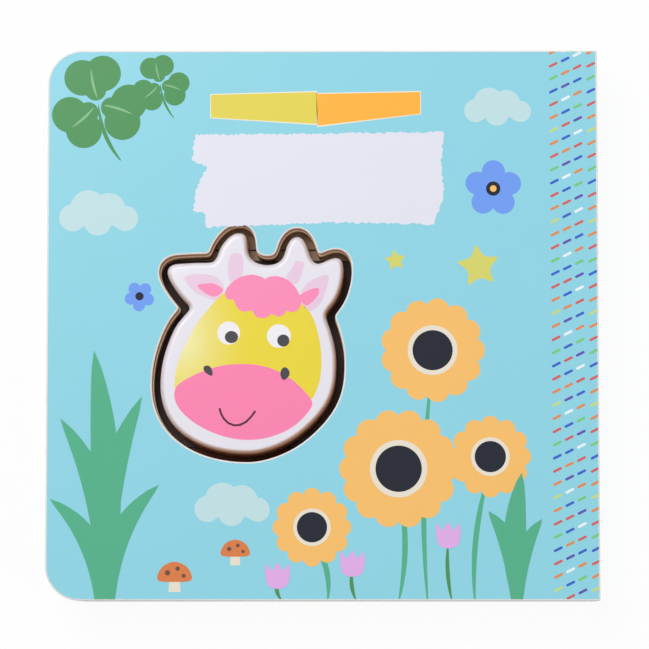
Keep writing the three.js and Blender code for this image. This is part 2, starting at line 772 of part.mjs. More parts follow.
/** Battery door, let into the bezel and held by one screw. */
function batteryDoor(parent) {
  const plate = slab(rectangle(doorX, bayY, doorWidth, doorLength, doorRadius), doorRecess, doorInner);
  const seat = doorRecess + screwHeadHeight + fit / 2;
  const sink = disc(screwHeadRadius + fit, -overcut, seat).translate(doorScrewX, bayY, 0);
  const hole = disc(screwRadius + pilotClearance, 0, doorInner + overcut).translate(doorScrewX, bayY, 0);
  piece('battery_door', mesh(cut(solid(plate), sink, hole)), greyPlastic, parent);
  const group = station(parent, doorScrewX, bayY);
  piece('door_screw', screw(seat, doorScrewLength), steel, group);
}

/** Screw driven upwards: its head ends at a seat level, its shank goes on from there. */
function screw(seat, length) {
  const low = seat - screwHeadHeight;
  const body = turned([
    [0, low], [screwHeadRadius - screwEdge, low], [screwHeadRadius, low + screwEdge],
    [screwHeadRadius, seat], [screwRadius, seat], [screwRadius, seat + length - screwPoint],
    [0, seat + length],
  ], smallLathSteps);
  const across = slab(rectangle(0, 0, crossLength, crossWidth), low - overcut, low + crossDepth);
  const along = slab(rectangle(0, 0, crossWidth, crossLength), low - overcut, low + crossDepth);
  return mesh(cut(solid(body), across, along));
}

function caseScrews(parent) {
  postPlaces().forEach(([x, y], i) => {
    const group = station(parent, x, y);
    const geometry = screw(backInside + counterboreDepth, caseScrewLength);
    piece(`case_screw_${i + 1}`, geometry, steel, group);
  });
}

/** Slide switch under the circuit board, with its knob in the back cover's slot. */
function slideSwitch(parent) {
  const group = station(parent, switchX, switchY);
  const low = floorTop + fit;
  const cavityLow = low + switchWall;
  const cavityHigh = boardUnder - switchWall;
  const shell = slab(rectangle(0, 0, switchWidth, switchLength), low, boardUnder);
  const cavity = rectangle(0, 0, sliderWidth + 2 * fit, switchLength - 2 * switchWall);
  const mouth = rectangle(0, 0, slotWidth, slotLength);
  const body = cut(solid(shell), slab(cavity, cavityLow, cavityHigh), slab(mouth, low - overcut, cavityLow));
  piece('switch_housing', mesh(body), steel, group);
  const rest = -switchTravel / 2;
  const carriageLow = cavityLow + fit;
  const carriage = slab(rectangle(0, rest, sliderWidth, sliderLength), carriageLow,
    carriageLow + sliderHeight);
  const knob = slab(rectangle(0, rest, knobWidth, knobLength), knobRecess, carriageLow + fit);
  piece('switch_slider', mesh(join(solid(carriage), knob)), blackResin, group);
}

/** Insulated lead through points that start and end on a tail or a pad. */
function lead(points) {
  const extrudePath = new THREE.CatmullRomCurve3(points.map((point) => new THREE.Vector3(...point)));
  const shape = new THREE.Shape();
  shape.absarc(0, 0, leadRadius, 0, Math.PI * 2);
  const options = { extrudePath, steps: leadSteps, curveSegments: 4, bevelEnabled: false };
  return new THREE.ExtrudeGeometry(shape, options);
}

/** Two leads from the battery contacts and two from the loudspeaker to the circuit board. */
function leads(parent) {
  const padX = boardX + boardWidth / 2 - padInset;
  const padLow = boardTop + fit;
  const padHigh = padLow + padRise;
  const start = tailTop + fit + leadSlack;
  const run = start + leadRun;
  const [positiveX, positiveY] = tailPlace(-1);
  const [negativeX, negativeY] = tailPlace(1);
  const redPad = boardY + batteryPadY;
  const blackPad = redPad + 1.5 * padPitch;
  piece('battery_lead_red', lead([
    [positiveX, positiveY, start], [positiveX, positiveY, start + leadRise],
    [positiveX + leadRise, positiveY + leadBend, run], [padX + leadBend, redPad - 1, run - leadRise],
    [padX, redPad, padHigh], [padX, redPad, padLow],
  ]), redLead, parent);
  piece('battery_lead_black', lead([
    [negativeX, negativeY, start], [negativeX, negativeY, start + leadRise],
    [negativeX - leadBend, negativeY + leadBend, run],
    [bayX, bayY + pocketLength / 2 + 2, run],
    [padX + 2 * leadBend, blackPad - 1, run - leadRise],
    [padX, blackPad, padHigh], [padX, blackPad, padLow],
  ]), blackLead, parent);
  const terminalX = speakerX - speakerRadius + 1;
  const terminal = floorTop + gasketThickness + speakerFlange + fit;
  [['speaker_lead_red', redLead, 1], ['speaker_lead_black', blackLead, -1]].forEach(
    ([name, material, side]) => {
      const y = speakerY + (side * padPitch) / 2;
      const pad = boardY + speakerPadY + (side * padPitch) / 2;
      piece(name, lead([
        [terminalX, y, terminal], [terminalX, y, terminal + 2 * leadRise],
        [terminalX - leadBend, y, terminal + leadBend + leadRise],
        [padX + leadBend + 1, pad, padHigh + leadRun], [padX, pad, padHigh], [padX, pad, padLow],
      ]), material, parent);
    },
  );
}

const soundBook = new THREE.Group();
frontCover(soundBook);
spine(soundBook);
backCover(soundBook);
pageBlock(soundBook);
innerBoardPiece(soundBook);
moduleFrame(soundBook);

const headStation = station(soundBook, headX, headY);
headSkin(headStation);
headFoam(headStation);
headPlate(headStation);
rubberDome(headStation);

caseBack(soundBook);
caseFront(soundBook);
circuitBoard(soundBook);
chipBlob(soundBook);
capacitor(soundBook);
resistors(soundBook);
speaker(soundBook);
buttonCells(soundBook);
contacts(soundBook);
batteryDoor(soundBook);
caseScrews(soundBook);
slideSwitch(soundBook);
leads(soundBook);

export default soundBook;
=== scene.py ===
"""Press-and-hear board book for small children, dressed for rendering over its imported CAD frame.

The book lies on its back cover with the front cover up. X runs from the fore edge to the spine, Y to
the head of the cover and Z up. Sizes in the classes are in millimetres, and every mesh is in metres.
"""

from __future__ import annotations

import logging
import math
import random
from collections.abc import Callable
from dataclasses import dataclass, field
from enum import Enum

import bmesh
import bpy
from mathutils import Matrix, Vector

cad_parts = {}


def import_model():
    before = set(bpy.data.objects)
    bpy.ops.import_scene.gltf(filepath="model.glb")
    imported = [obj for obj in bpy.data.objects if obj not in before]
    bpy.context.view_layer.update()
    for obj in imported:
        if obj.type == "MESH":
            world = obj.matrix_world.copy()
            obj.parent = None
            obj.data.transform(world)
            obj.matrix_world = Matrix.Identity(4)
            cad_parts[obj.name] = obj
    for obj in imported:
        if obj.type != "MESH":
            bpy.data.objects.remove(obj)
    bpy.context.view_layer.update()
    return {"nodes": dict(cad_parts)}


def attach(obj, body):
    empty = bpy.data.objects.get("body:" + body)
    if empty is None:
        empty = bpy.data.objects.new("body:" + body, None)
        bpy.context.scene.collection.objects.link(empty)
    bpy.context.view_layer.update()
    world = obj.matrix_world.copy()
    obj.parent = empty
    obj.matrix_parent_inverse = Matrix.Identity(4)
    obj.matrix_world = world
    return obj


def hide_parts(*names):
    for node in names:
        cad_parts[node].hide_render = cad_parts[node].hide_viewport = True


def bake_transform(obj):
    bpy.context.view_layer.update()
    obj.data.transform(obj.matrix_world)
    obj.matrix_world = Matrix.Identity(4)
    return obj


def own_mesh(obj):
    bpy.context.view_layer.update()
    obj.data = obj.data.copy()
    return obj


LOG = logging.getLogger("sound_book")
MM = 0.001
PHOTO_MM = 0.3636  # millimetres of the cover in one pixel of the photograph
PHOTO_MIDDLE = (322.5, 325.5)  # pixel that shows the middle of the cover
GRID = 2.5  # millimetres between the cuts of a bowed surface
Point = tuple[float, float]
Loop = list[Point]
Lobe = tuple[float, float, float]
Place = tuple[float, float, float]
Tree = bpy.types.NodeTree
Node = bpy.types.Node
Socket = bpy.types.NodeSocket
Mesh = bpy.types.Mesh
Polygon = bpy.types.MeshPolygon
Rule = Callable[[Polygon], "Paint"]


# Helpers for materials


def linear(code: str) -> tuple[float, float, float, float]:
    """Turn an sRGB hex value into the linear colour that a socket takes.

    Args:
        code: Six hex digits after a hash.

    Returns:
        Linear red, green and blue, and an alpha of one.
    """
    shares = [int(code[i : i + 2], 16) / 255 for i in (1, 3, 5)]
    steps = [s / 12.92 if s <= 0.04045 else ((s + 0.055) / 1.055) ** 2.4 for s in shares]
    return (steps[0], steps[1], steps[2], 1.0)


def add_node(tree: Tree, kind: str, settings: dict | None = None, **inputs) -> Node:
    """Add one node with its settings and its inputs.

    Args:
        tree: Node tree that the node goes into.
        kind: Type name of the node.
        settings: Properties of the node, by name, with the stops of a ramp as places and hex colours.
        **inputs: Values or output sockets by input name, with _ for a space, or _0, _1 for a number.

    Returns:
        The new node.
    """
    node = tree.nodes.new(kind)
    for name, value in (settings or {}).items():
        if name != "stops":
            setattr(node, name, value)
            continue
        elements = node.color_ramp.elements
        while len(elements) < len(value):
            elements.new(0.5)
        for element, (place, code) in zip(elements, value):
            element.position, element.color = place, linear(code)
    for name, value in inputs.items():
        key = int(name[1:]) if name[1:].isdigit() and name[0] == "_" else name.replace("_", " ")
        socket = node.inputs[key]
        if isinstance(value, Socket):
            tree.links.new(value, socket)
        else:
            socket.default_value = value
    return node


def add_noise(
    tree: Tree, place: Socket, scale: float, detail: float, stretch: Place | None = None
) -> Socket:
    """Add a noise pattern, drawn out along an axis where asked, and return its value from 0 to 1."""
    if stretch:
        place = add_node(tree, "ShaderNodeMapping", Vector=place, Scale=stretch).outputs["Vector"]
    return add_node(tree, "ShaderNodeTexNoise", Vector=place, Scale=scale, Detail=detail).outputs["Fac"]


def add_bump(tree: Tree, shader: Node, height: Socket, strength: float, depth: float) -> None:
    """Let a pattern raise a shader's surface, by a strength and a depth in metres."""
    bump = add_node(tree, "ShaderNodeBump", Height=height, Strength=strength, Distance=depth)
    tree.links.new(bump.outputs["Normal"], shader.inputs["Normal"])


def add_mix(tree: Tree, share: Socket, colour: Socket, other: Socket | str) -> Socket:
    """Mix a colour with another one, a socket or a hex value, and return the result."""
    second = linear(other) if isinstance(other, str) else other
    mix = add_node(tree, "ShaderNodeMix", {"data_type": "RGBA"}, Factor=share, _6=colour, _7=second)
    return mix.outputs[2]


@dataclass(frozen=True)
class Finish:
    """A surface of one real material, with the values that its kind shares."""

    name: str
    colour: str
    roughness: float = 0.5
    metallic: float = 0.0
    ior: float = 1.5
    specular: float = 0.5
    lit_colour: str = ""
    line: float = 0.0

    def start(self) -> tuple[bpy.types.Material, Tree, Node, Socket]:
        """Make the material with a plain shader.

        Returns:
            The material, its tree, its shader and the Object coordinates.
        """
        material = bpy.data.materials.new(self.name)
        material.use_nodes = True
        tree = material.node_tree
        shader = tree.nodes["Principled BSDF"]
        shader.inputs["Base Color"].default_value = linear(self.colour)
        shader.inputs["Roughness"].default_value = self.roughness
        shader.inputs["Metallic"].default_value = self.metallic
        shader.inputs["Specular IOR Level"].default_value = self.specular
        if not self.metallic:
            shader.inputs["IOR"].default_value = self.ior
        material.diffuse_color = linear(self.colour)
        place = add_node(tree, "ShaderNodeTexCoord").outputs["Object"]
        return material, tree, shader, place

    def build(self) -> bpy.types.Material:
        """Return the finished material, made once."""
        found = bpy.data.materials.get(self.name)
        if found:
            return found
        material, tree, shader, place = self.start()
        self.dress(tree, shader, place)
        return material

    def dress(self, tree: Tree, shader: Node, place: Socket) -> None:
        """Add the surface's pattern.

        Args:
            tree: The material's tree.
            shader: Its shader.
            place: Object coordinates.
        """

    def lit_past_line(self, tree: Tree, colour: Socket, place: Socket) -> Socket:
        """Paint a lighter colour past a line across the book, as painted light on the well's floor there,
        with the darker colour before the line as painted shade.

        Args:
            tree: The material's tree.
            colour: The surface's own colour.
            place: Object coordinates.

        Returns:
            The colour of both sides.
        """
        level = add_node(tree, "ShaderNodeSeparateXYZ", Vector=place).outputs["Y"]
        share = add_node(
            tree, "ShaderNodeMapRange", _0=level, From_Min=self.line * MM, From_Max=(self.line + 0.2) * MM
        )
        return add_mix(tree, share.outputs["Result"], colour, self.lit_colour)

    def tone(self, tree: Tree, factor: Socket, spread: float) -> Socket:
        """Vary the colour's lightness with a pattern.

        Args:
            tree: The material's tree.
            factor: Pattern from 0 to 1.
            spread: Largest change of lightness, as a share.

        Returns:
            The varied colour.
        """
        value = add_node(tree, "ShaderNodeMapRange", _0=factor, To_Min=1 - spread, To_Max=1 + spread)
        shade = add_node(
            tree, "ShaderNodeHueSaturation", Color=linear(self.colour), Value=value.outputs["Result"]
        )
        return shade.outputs["Color"]


@dataclass(frozen=True)
class FilmPrint(Finish):
    """Offset print on coated board under a gloss film, which keeps a fine upright grain in its shine."""

    roughness: float = 0.27
    specular: float = 0.3
    spread: float = 0.012
    grain: float = 0.05
    fibres: float = 1400.0  # one every 0.7 mm, coarser than the film's own so that it shows

    def dress(self, tree: Tree, shader: Node, place: Socket) -> None:
        """Add slow ink variation and the film's upright grain."""
        slow = add_noise(tree, place, 45.0, 3.0)
        tree.links.new(self.tone(tree, slow, self.spread), shader.inputs["Base Color"])
        fibres = add_noise(tree, place, self.fibres, 2.0, (1.0, 0.09, 1.0))
        add_bump(tree, shader, fibres, self.grain, 0.0002)


@dataclass(frozen=True)
class BoardEdge(Finish):
    """Trimmed edge of white-lined board, with its pressed plies showing as fine lines."""

    roughness: float = 0.85

    def dress(self, tree: Tree, shader: Node, place: Socket) -> None:
        """Add plies every 0.25 mm and fibre."""
        plies = add_noise(tree, place, 1 / (0.25 * MM), 2.0, (0.04, 0.04, 1.0))
        tree.links.new(self.tone(tree, plies, 0.1), shader.inputs["Base Color"])
        add_bump(tree, shader, add_noise(tree, place, 2600.0, 3.0), 0.3, 0.0001)


@dataclass(frozen=True)
class WellWall(Finish):
    """Die-cut wall printed brown, painted lighter than its own brown as painted light, and darker towards the
    floor of the well as painted shade.
    """

    roughness: float = 0.6
    painted_shade_deep: str = "#BE8A66"
    middle: str = "#D0A17C"
    low: float = 14.0
    high: float = 28.6

    def dress(self, tree: Tree, shader: Node, place: Socket) -> None:
        """Paint shade that darkens the wall with depth, and add the knife's upright marks."""
        level = add_node(tree, "ShaderNodeSeparateXYZ", Vector=place).outputs["Z"]
        share = add_node(
            tree, "ShaderNodeMapRange", _0=level, From_Min=self.low * MM, From_Max=self.high * MM
        )
        knife = add_noise(tree, place, 900.0, 2.0, (1.0, 1.0, 0.05))
        mixed = add_node(
            tree, "ShaderNodeMath", {"operation": "MULTIPLY_ADD"},
            _0=knife, _1=0.16, _2=share.outputs["Result"],
        )
        stops = [(0.0, self.painted_shade_deep), (0.5, self.middle), (1.0, self.colour)]
        ramp = add_node(tree, "ShaderNodeValToRGB", {"stops": stops}, Fac=mixed.outputs["Value"])
        tree.links.new(ramp.outputs["Color"], shader.inputs["Base Color"])


@dataclass(frozen=True)
class GreyBoard(Finish):
    """Uncoated recycled board, mottled by its fibres."""

    roughness: float = 0.9

    def dress(self, tree: Tree, shader: Node, place: Socket) -> None:
        """Add flecks about 0.6 mm long."""
        flecks = add_noise(tree, place, 1600.0, 4.0)
        colour = self.tone(tree, flecks, 0.16)
        # Painted light past the line and painted shade before it, where a lit colour is given.
        if self.lit_colour:
            colour = self.lit_past_line(tree, colour, place)
        tree.links.new(colour, shader.inputs["Base Color"])
        add_bump(tree, shader, flecks, 0.35, 0.0001)


@dataclass(frozen=True)
class SoftVinyl(Finish):
    """Moulded soft vinyl, milky and glossy, so that light sinks a little way in."""

    roughness: float = 0.24
    ior: float = 1.53
    specular: float = 0.35
    milk: float = 0.08
    painted_highlight: str = ""
    highlight_place: Place = (-0.050, -0.006, 0.028)
    highlight_reach: Place = (0.025, 0.036, 0.03)

    def dress(self, tree: Tree, shader: Node, place: Socket) -> None:
        """Add the milky depth, faint cloudiness, and a paler painted highlight at the upper left of the face.
        """
        colour = self.tone(tree, add_noise(tree, place, 60.0, 3.0), 0.012)
        # Painted highlight: a paler yellow that fades out from the face's upper left.
        if self.painted_highlight:
            centre = add_node(
                tree, "ShaderNodeMapping", {"vector_type": "TEXTURE"}, Vector=place,
                Location=self.highlight_place, Scale=self.highlight_reach,
            )
            highlight_falloff = add_node(
                tree, "ShaderNodeTexGradient", {"gradient_type": "QUADRATIC_SPHERE"},
                Vector=centre.outputs["Vector"],
            )
            colour = add_mix(tree, highlight_falloff.outputs["Fac"], colour, self.painted_highlight)
        tree.links.new(colour, shader.inputs["Base Color"])
        shader.inputs["Coat Weight"].default_value = 0.15
        shader.inputs["Coat Roughness"].default_value = 0.12
        shader.inputs["Subsurface Weight"].default_value = self.milk
        shader.inputs["Subsurface Radius"].default_value = (0.0012, 0.001, 0.001)
        shader.inputs["Subsurface Scale"].default_value = 1.0
        add_bump(tree, shader, add_noise(tree, place, 220.0, 2.0), 0.06, 0.0004)


@dataclass(frozen=True)
class VinylShell(SoftVinyl):
    """The head's own vinyl, whose round rim carries painted shade and a painted reflection of the brown well
    below the crown.
    """

    # Painted shade and reflection of the well, from the rim's foot up to the white crown.
    stops: tuple[tuple[float, str], ...] = (
        (0.0, "#A0745B"), (0.6, "#A87F67"), (0.88, "#B58F7A"), (0.965, "#CBB7B2"), (1.0, "#E6E3EC"),
    )
    middle: Place = (-0.0265, -0.007, 0.0)
    shaded_side: Place = (0.45, -0.89, 0.0)
    top: float = 28.2
    depth: float = 2.1
    crown: float = 1.2
    reach: float = 52.14

    def dress(self, tree: Tree, shader: Node, place: Socket) -> None:
        """Paint shade and the brown well's reflection onto the rim by how far it lies below the crown, most
        where it faces the tail and the spine.
        """
        super().dress(tree, shader, place)
        kind = "ShaderNodeVectorMath"
        plan = add_node(tree, kind, {"operation": "SUBTRACT"}, _0=place, _1=self.middle).outputs["Vector"]
        flat = add_node(tree, kind, {"operation": "MULTIPLY"}, _0=plan, _1=(1.0, 1.0, 0.0)).outputs["Vector"]
        square = add_node(tree, kind, {"operation": "DOT_PRODUCT"}, _0=flat, _1=flat)
        level = add_node(tree, "ShaderNodeSeparateXYZ", Vector=place).outputs["Z"]
        bowed = add_node(
            tree, "ShaderNodeMath", {"operation": "MULTIPLY_ADD"},
            _0=square.outputs["Value"], _1=self.crown * MM / (self.reach * MM) ** 2, _2=level,
        )
        share = add_node(
            tree, "ShaderNodeMapRange", _0=bowed.outputs["Value"],
            From_Min=(self.top - self.depth) * MM, From_Max=self.top * MM,
        )
        rim_shade = add_node(tree, "ShaderNodeValToRGB", {"stops": self.stops}, Fac=share.outputs["Result"])
        normal = add_node(tree, "ShaderNodeNewGeometry").outputs["Normal"]
        facing = add_node(tree, kind, {"operation": "DOT_PRODUCT"}, _0=normal, _1=self.shaded_side)
        amount = add_node(
            tree, "ShaderNodeMapRange", _0=facing.outputs["Value"],
            From_Min=-0.35, From_Max=0.5, To_Min=0.1, To_Max=1.0,
        )
        before = shader.inputs["Base Color"].links[0].from_socket
        colour = add_mix(tree, amount.outputs["Result"], before, rim_shade.outputs["Color"])
        tree.links.new(colour, shader.inputs["Base Color"])


@dataclass(frozen=True)
class MouldedPlastic(Finish):
    """Injection-moulded plastic with the fine spark texture of its tool."""

    roughness: float = 0.48
    ior: float = 1.53
    texture: float = 0.25

    def dress(self, tree: Tree, shader: Node, place: Socket) -> None:
        """Add texture about 0.3 mm across, drawn coarser than the real one so that it shows."""
        spark = add_node(tree, "ShaderNodeTexVoronoi", Vector=place, Scale=1 / (0.3125 * MM))
        add_bump(tree, shader, spark.outputs["Distance"], self.texture, 0.00005)
        colour = self.tone(tree, add_noise(tree, place, 90.0, 3.0), 0.03)
        # Painted light past the line and painted shade before it, where a lit colour is given.
        if self.lit_colour:
            colour = self.lit_past_line(tree, colour, place)
        tree.links.new(colour, shader.inputs["Base Color"])


@dataclass(frozen=True)
class WorkedMetal(Finish):
    """Plated or drawn metal with short working marks."""

    roughness: float = 0.3
    metallic: float = 1.0

    def dress(self, tree: Tree, shader: Node, place: Socket) -> None:
        """Vary the roughness with marks 0.2 mm apart."""
        marks = add_noise(tree, place, 1 / (0.2 * MM), 2.0, (1.0, 0.15, 1.0))
        rough = add_node(
            tree, "ShaderNodeMapRange", _0=marks, To_Min=self.roughness - 0.08, To_Max=self.roughness + 0.12
        )
        tree.links.new(rough.outputs["Result"], shader.inputs["Roughness"])


@dataclass(frozen=True)
class SoftFoam(Finish):
    """Open-cell foam, with its cells as small pits."""

    roughness: float = 0.95

    def dress(self, tree: Tree, shader: Node, place: Socket) -> None:
        """Add cells 0.8 mm across."""
        cells = add_node(tree, "ShaderNodeTexVoronoi", Vector=place, Scale=1 / (0.8 * MM))
        tree.links.new(self.tone(tree, cells.outputs["Distance"], 0.14), shader.inputs["Base Color"])
        add_bump(tree, shader, cells.outputs["Distance"], 0.5, 0.0002)


class Paint(Enum):
    """Inks and materials of the book, by what they are used for."""

    GROUND = FilmPrint("cover_ground_print", "#8FD3E3")
    TITLE = FilmPrint("title_field_print", "#E3E3EF")
    RIBBON_YELLOW = FilmPrint("yellow_ribbon_print", "#E1D252")
    RIBBON_ORANGE = FilmPrint("orange_ribbon_print", "#FFB33E")
    RIBBON_EDGE = FilmPrint("ribbon_border_print", "#F1EAD6")
    LEAF = FilmPrint("leaf_green_print", "#478F51")
    VEIN = FilmPrint("leaf_vein_print", "#83B98A")
    SPRIG = FilmPrint("sprig_green_print", "#52AE88")
    PETAL = FilmPrint("petal_orange_print", "#F6BE6B")
    SEED = FilmPrint("seed_black_print", "#1E222E", specular=0.2)
    CREAM = FilmPrint("cream_print", "#E8DFCF")
    LILAC = FilmPrint("lilac_print", "#DFACE6")
    CLOUD = FilmPrint("cloud_print", "#C0DFE3")
    STAR = FilmPrint("star_yellow_print", "#D4D36A")
    BLUE = FilmPrint("blossom_blue_print", "#6F9BEF")
    RUST = FilmPrint("cap_rust_print", "#D97C46")
    STALK = FilmPrint("stalk_brown_print", "#6B4A3C")
    DASH_RED = FilmPrint("dash_red_print", "#D0605F")
    DASH_ORANGE = FilmPrint("dash_orange_print", "#E08A4E")
    DASH_GREEN = FilmPrint("dash_green_print", "#78C97A")
    DASH_BLUE = FilmPrint("dash_blue_print", "#3A62C8")
    DASH_PURPLE = FilmPrint("dash_purple_print", "#6450B0")
    DASH_LIME = FilmPrint("dash_lime_print", "#C8D880")
    DASH_WHITE = FilmPrint("dash_white_print", "#EAF3FA")
    HILL = FilmPrint("near_hill_print", "#84C48C")
    MEADOW = FilmPrint("meadow_print", "#A9D6A0")
    BORDER = FilmPrint("well_border_print", "#A5775B")
    INSIDE = FilmPrint("inside_ground_print", "#BFE3EA")
    EDGE = BoardEdge("trimmed_board_edge", "#ECE7E3")
    # The well's wall is painted lighter than its brown as painted light, and darker with depth as painted
    # shade.
    WALL = WellWall("printed_well_wall", "#EAC8A8")
    GREY = GreyBoard("grey_board", "#8E8478")
    # The brown board is painted dark before the middle of the book and light past it: painted shade and
    # painted light on the well's floor.
    BROWN = GreyBoard("brown_board_painted_light_and_shade", "#6A3A2C", lit_colour="#F4D3B0")
    # The vinyl's rim carries painted shade and a painted reflection of the brown well.
    VINYL = VinylShell("milky_vinyl", "#E6E3EC")
    # The face's yellow carries a painted highlight at its upper left.
    FACE_YELLOW = SoftVinyl("face_yellow_print", "#EFD936", painted_highlight="#F8F3B4")
    FACE_PINK = SoftVinyl("muzzle_pink_print", "#FF84B2")
    HAIR_PINK = SoftVinyl("fringe_pink_print", "#FF8DBA")
    PALE_PINK = SoftVinyl("ear_pale_pink_print", "#EDCDE5")
    EYE_WHITE = SoftVinyl("eye_white_print", "#F5F2F7")
    EYE_DARK = SoftVinyl("eye_dark_print", "#3C3C41")
    SMILE = SoftVinyl("smile_burgundy_print", "#4F1535")
    FOAM = SoftFoam("pad_foam", "#F1E7C8")
    SILICONE = MouldedPlastic("dome_silicone", "#C7C4BB", roughness=0.7, texture=0.1)
    WHITE_PLASTIC = MouldedPlastic("white_moulding", "#E4E3DE")
    GREY_PLASTIC = MouldedPlastic("grey_moulding", "#C9CCD0")
    # The moulding is painted dark before a line near the horn tops and light past it: painted shade and
    # painted light on the well's floor.
    DARK_PLASTIC = MouldedPlastic(
        "dark_moulding_painted_light_and_shade", "#3F2119", roughness=0.55, lit_colour="#F0CBA6", line=24.4
    )
    BLACK_PLASTIC = MouldedPlastic("black_moulding", "#17181B", roughness=0.42)
    RESIN_GREEN = MouldedPlastic("circuit_laminate", "#2F6B3D", roughness=0.4, texture=0.15)
    EPOXY = MouldedPlastic("epoxy_blob", "#101214", roughness=0.28, texture=0.05)
    CONE = MouldedPlastic("speaker_cone_film", "#2B2B2E", roughness=0.5)
    STEEL = WorkedMetal("plated_steel", "#B9BCC0")
    ALUMINIUM = WorkedMetal("can_aluminium", "#CDCFD2", roughness=0.35)
    BRASS = WorkedMetal("spring_brass", "#CAA85A", roughness=0.33)
    FERRITE = MouldedPlastic("pressed_ferrite", "#3C3E41", roughness=0.62, texture=0.4)
    LEAD_RED = MouldedPlastic("red_lead_sheath", "#C23A31", roughness=0.4, texture=0.05)
    LEAD_BLACK = MouldedPlastic("black_lead_sheath", "#1B1C1F", roughness=0.4, texture=0.05)

    def material(self) -> bpy.types.Material:
        """Return this finish's material."""
        return self.value.build()


# Outlines, in millimetres


def from_photo(x: float, y: float) -> Point:
    """Turn a place on the cover in the photograph's frame into the book's millimetres."""
    return ((x - PHOTO_MIDDLE[0]) * PHOTO_MM, (PHOTO_MIDDLE[1] - y) * PHOTO_MM)


def smooth_loop(points: Loop, steps: int, easing: int = 0) -> Loop:
    """Run a closed centripetal curve through points.

    Args:
        points: Points that the curve passes.
        steps: Points of the result for each one given.
        easing: Times that each point is drawn towards its neighbours.

    Returns:
        The curve as a closed loop of points.
    """
    count = len(points)
    knots = [Vector(p) for p in points]
    loop: list[Vector] = []
    for i in range(count):
        p0, p1, p2, p3 = (knots[(i + k - 1) % count] for k in range(4))
        t1 = (p1 - p0).length ** 0.5
        t2 = t1 + (p2 - p1).length ** 0.5
        t3 = t2 + (p3 - p2).length ** 0.5
        for k in range(steps):
            t = t1 + (t2 - t1) * k / steps
            a1 = p0.lerp(p1, t / t1)
            a2 = p1.lerp(p2, (t - t1) / (t2 - t1))
            a3 = p2.lerp(p3, (t - t2) / (t3 - t2))
            loop.append(a1.lerp(a2, t / t2).lerp(a2.lerp(a3, (t - t1) / (t3 - t1)), (t - t1) / (t2 - t1)))
    for _ in range(easing):
        loop = [(loop[i - 1] + 2 * loop[i] + loop[(i + 1) % len(loop)]) / 4 for i in range(len(loop))]
    return [(p.x, p.y) for p in loop]


def turned_left(loop: Loop) -> Loop:
    """Return a loop in anticlockwise order."""
    area = sum(a[0] * b[1] - b[0] * a[1] for a, b in zip(loop, loop[1:] + loop[:1]))
    return loop if area > 0 else loop[::-1]


def moved(loop: Loop, x: float, y: float) -> Loop:
    """Return a loop moved by x and y."""
    return [(a + x, b + y) for a, b in loop]


def grown(loop: Loop, distance: float) -> Loop:
    """Grow an anticlockwise loop.

    Args:
        loop: Outline to grow.
        distance: Growth in millimetres.

    Returns:
        The grown outline, without the loops that tight corners would make.
    """
    corners = [Vector(p) for p in loop]
    count = len(corners)
    grown_points = []
    for i, point in enumerate(corners):
        along = (corners[(i + 1) % count] - corners[i - 1]).normalized()
        grown_points.append(point + Vector((along.y, -along.x)) * distance)

    def clear(point: Vector) -> bool:
        """Tell whether a point keeps its full distance from the outline."""
        for i in range(count):
            a, b = corners[i - 1], corners[i]
            span = b - a
            share = min(1.0, max(0.0, (point - a).dot(span) / span.length_squared))
            if (point - a - span * share).length < distance - 0.03:
                return False
        return True

    return [(p.x, p.y) for p in grown_points if clear(p)]


def evened(loop: Loop, pitch: float, easing: int) -> Loop:
    """Space the points of an outline evenly and ease its tight corners.

    Args:
        loop: Closed outline.
        pitch: Distance between points, about.
        easing: Times that each point is drawn towards its neighbours.

    Returns:
        The outline through even points.
    """
    sides = list(zip(loop, loop[1:] + loop[:1]))
    lengths = [math.dist(a, b) for a, b in sides]
    count = round(sum(lengths) / pitch)
    spaced: Loop = []
    passed, side = 0.0, 0
    for i in range(count):
        wanted = sum(lengths) * i / count
        while passed + lengths[side] < wanted:
            passed += lengths[side]
            side += 1
        (x0, y0), (x1, y1) = sides[side]
        share = (wanted - passed) / lengths[side]
        spaced.append((x0 + (x1 - x0) * share, y0 + (y1 - y0) * share))
    for _ in range(easing):
        spaced = [
            ((a[0] + 2 * b[0] + c[0]) / 4, (a[1] + 2 * b[1] + c[1]) / 4)
            for a, b, c in zip(spaced[-1:] + spaced[:-1], spaced, spaced[1:] + spaced[:1])
        ]
    return spaced


def placed(points: Loop, x: float = 0.0, y: float = 0.0, size: float = 1.0) -> Loop:
    """Place points drawn about a point of the photograph's frame, at a size, in millimetres."""
    return [from_photo(x + a * size, y + b * size) for a, b in points]


def quarter(x: float, y: float, radius: float, start: float) -> Loop:
    """Return a quarter circle about a point, from a start angle in degrees."""
    turns = [math.radians(start + 90 * i / 12) for i in range(13)]
    return [(x + radius * math.cos(t), y + radius * math.sin(t)) for t in turns]


def ellipse(x: float, y: float, across: float, tall: float, count: int = 48) -> Loop:
    """Return an ellipse of half sizes across and tall."""
    angles = [math.tau * i / count for i in range(count)]
    return [(x + across * math.cos(a), y + tall * math.sin(a)) for a in angles]


def circle(x: float, y: float, radius: float, count: int = 40) -> Loop:
    """Return a circle as a loop."""
    return ellipse(x, y, radius, radius, count)


def lobed(x: float, y: float, lobes: list[Lobe], count: int = 96) -> Loop:
    """Join discs that all hold or reach a middle point.

    Args:
        x: Middle of the shape.
        y: Middle of the shape.
        lobes: Offset and radius of each disc.
        count: Points of the loop.

    Returns:
        The outline of the joined discs.
    """
    loop = []
    for i in range(count):
        cos, sin = math.cos(math.tau * i / count), math.sin(math.tau * i / count)
        reach = 0.0
        for dx, dy, radius in lobes:
            near = dx * cos + dy * sin
            under = near * near - (dx * dx + dy * dy - radius * radius)
            if under >= 0:
                reach = max(reach, near + math.sqrt(under))
        loop.append((x + reach * cos, y + reach * sin))
    return loop


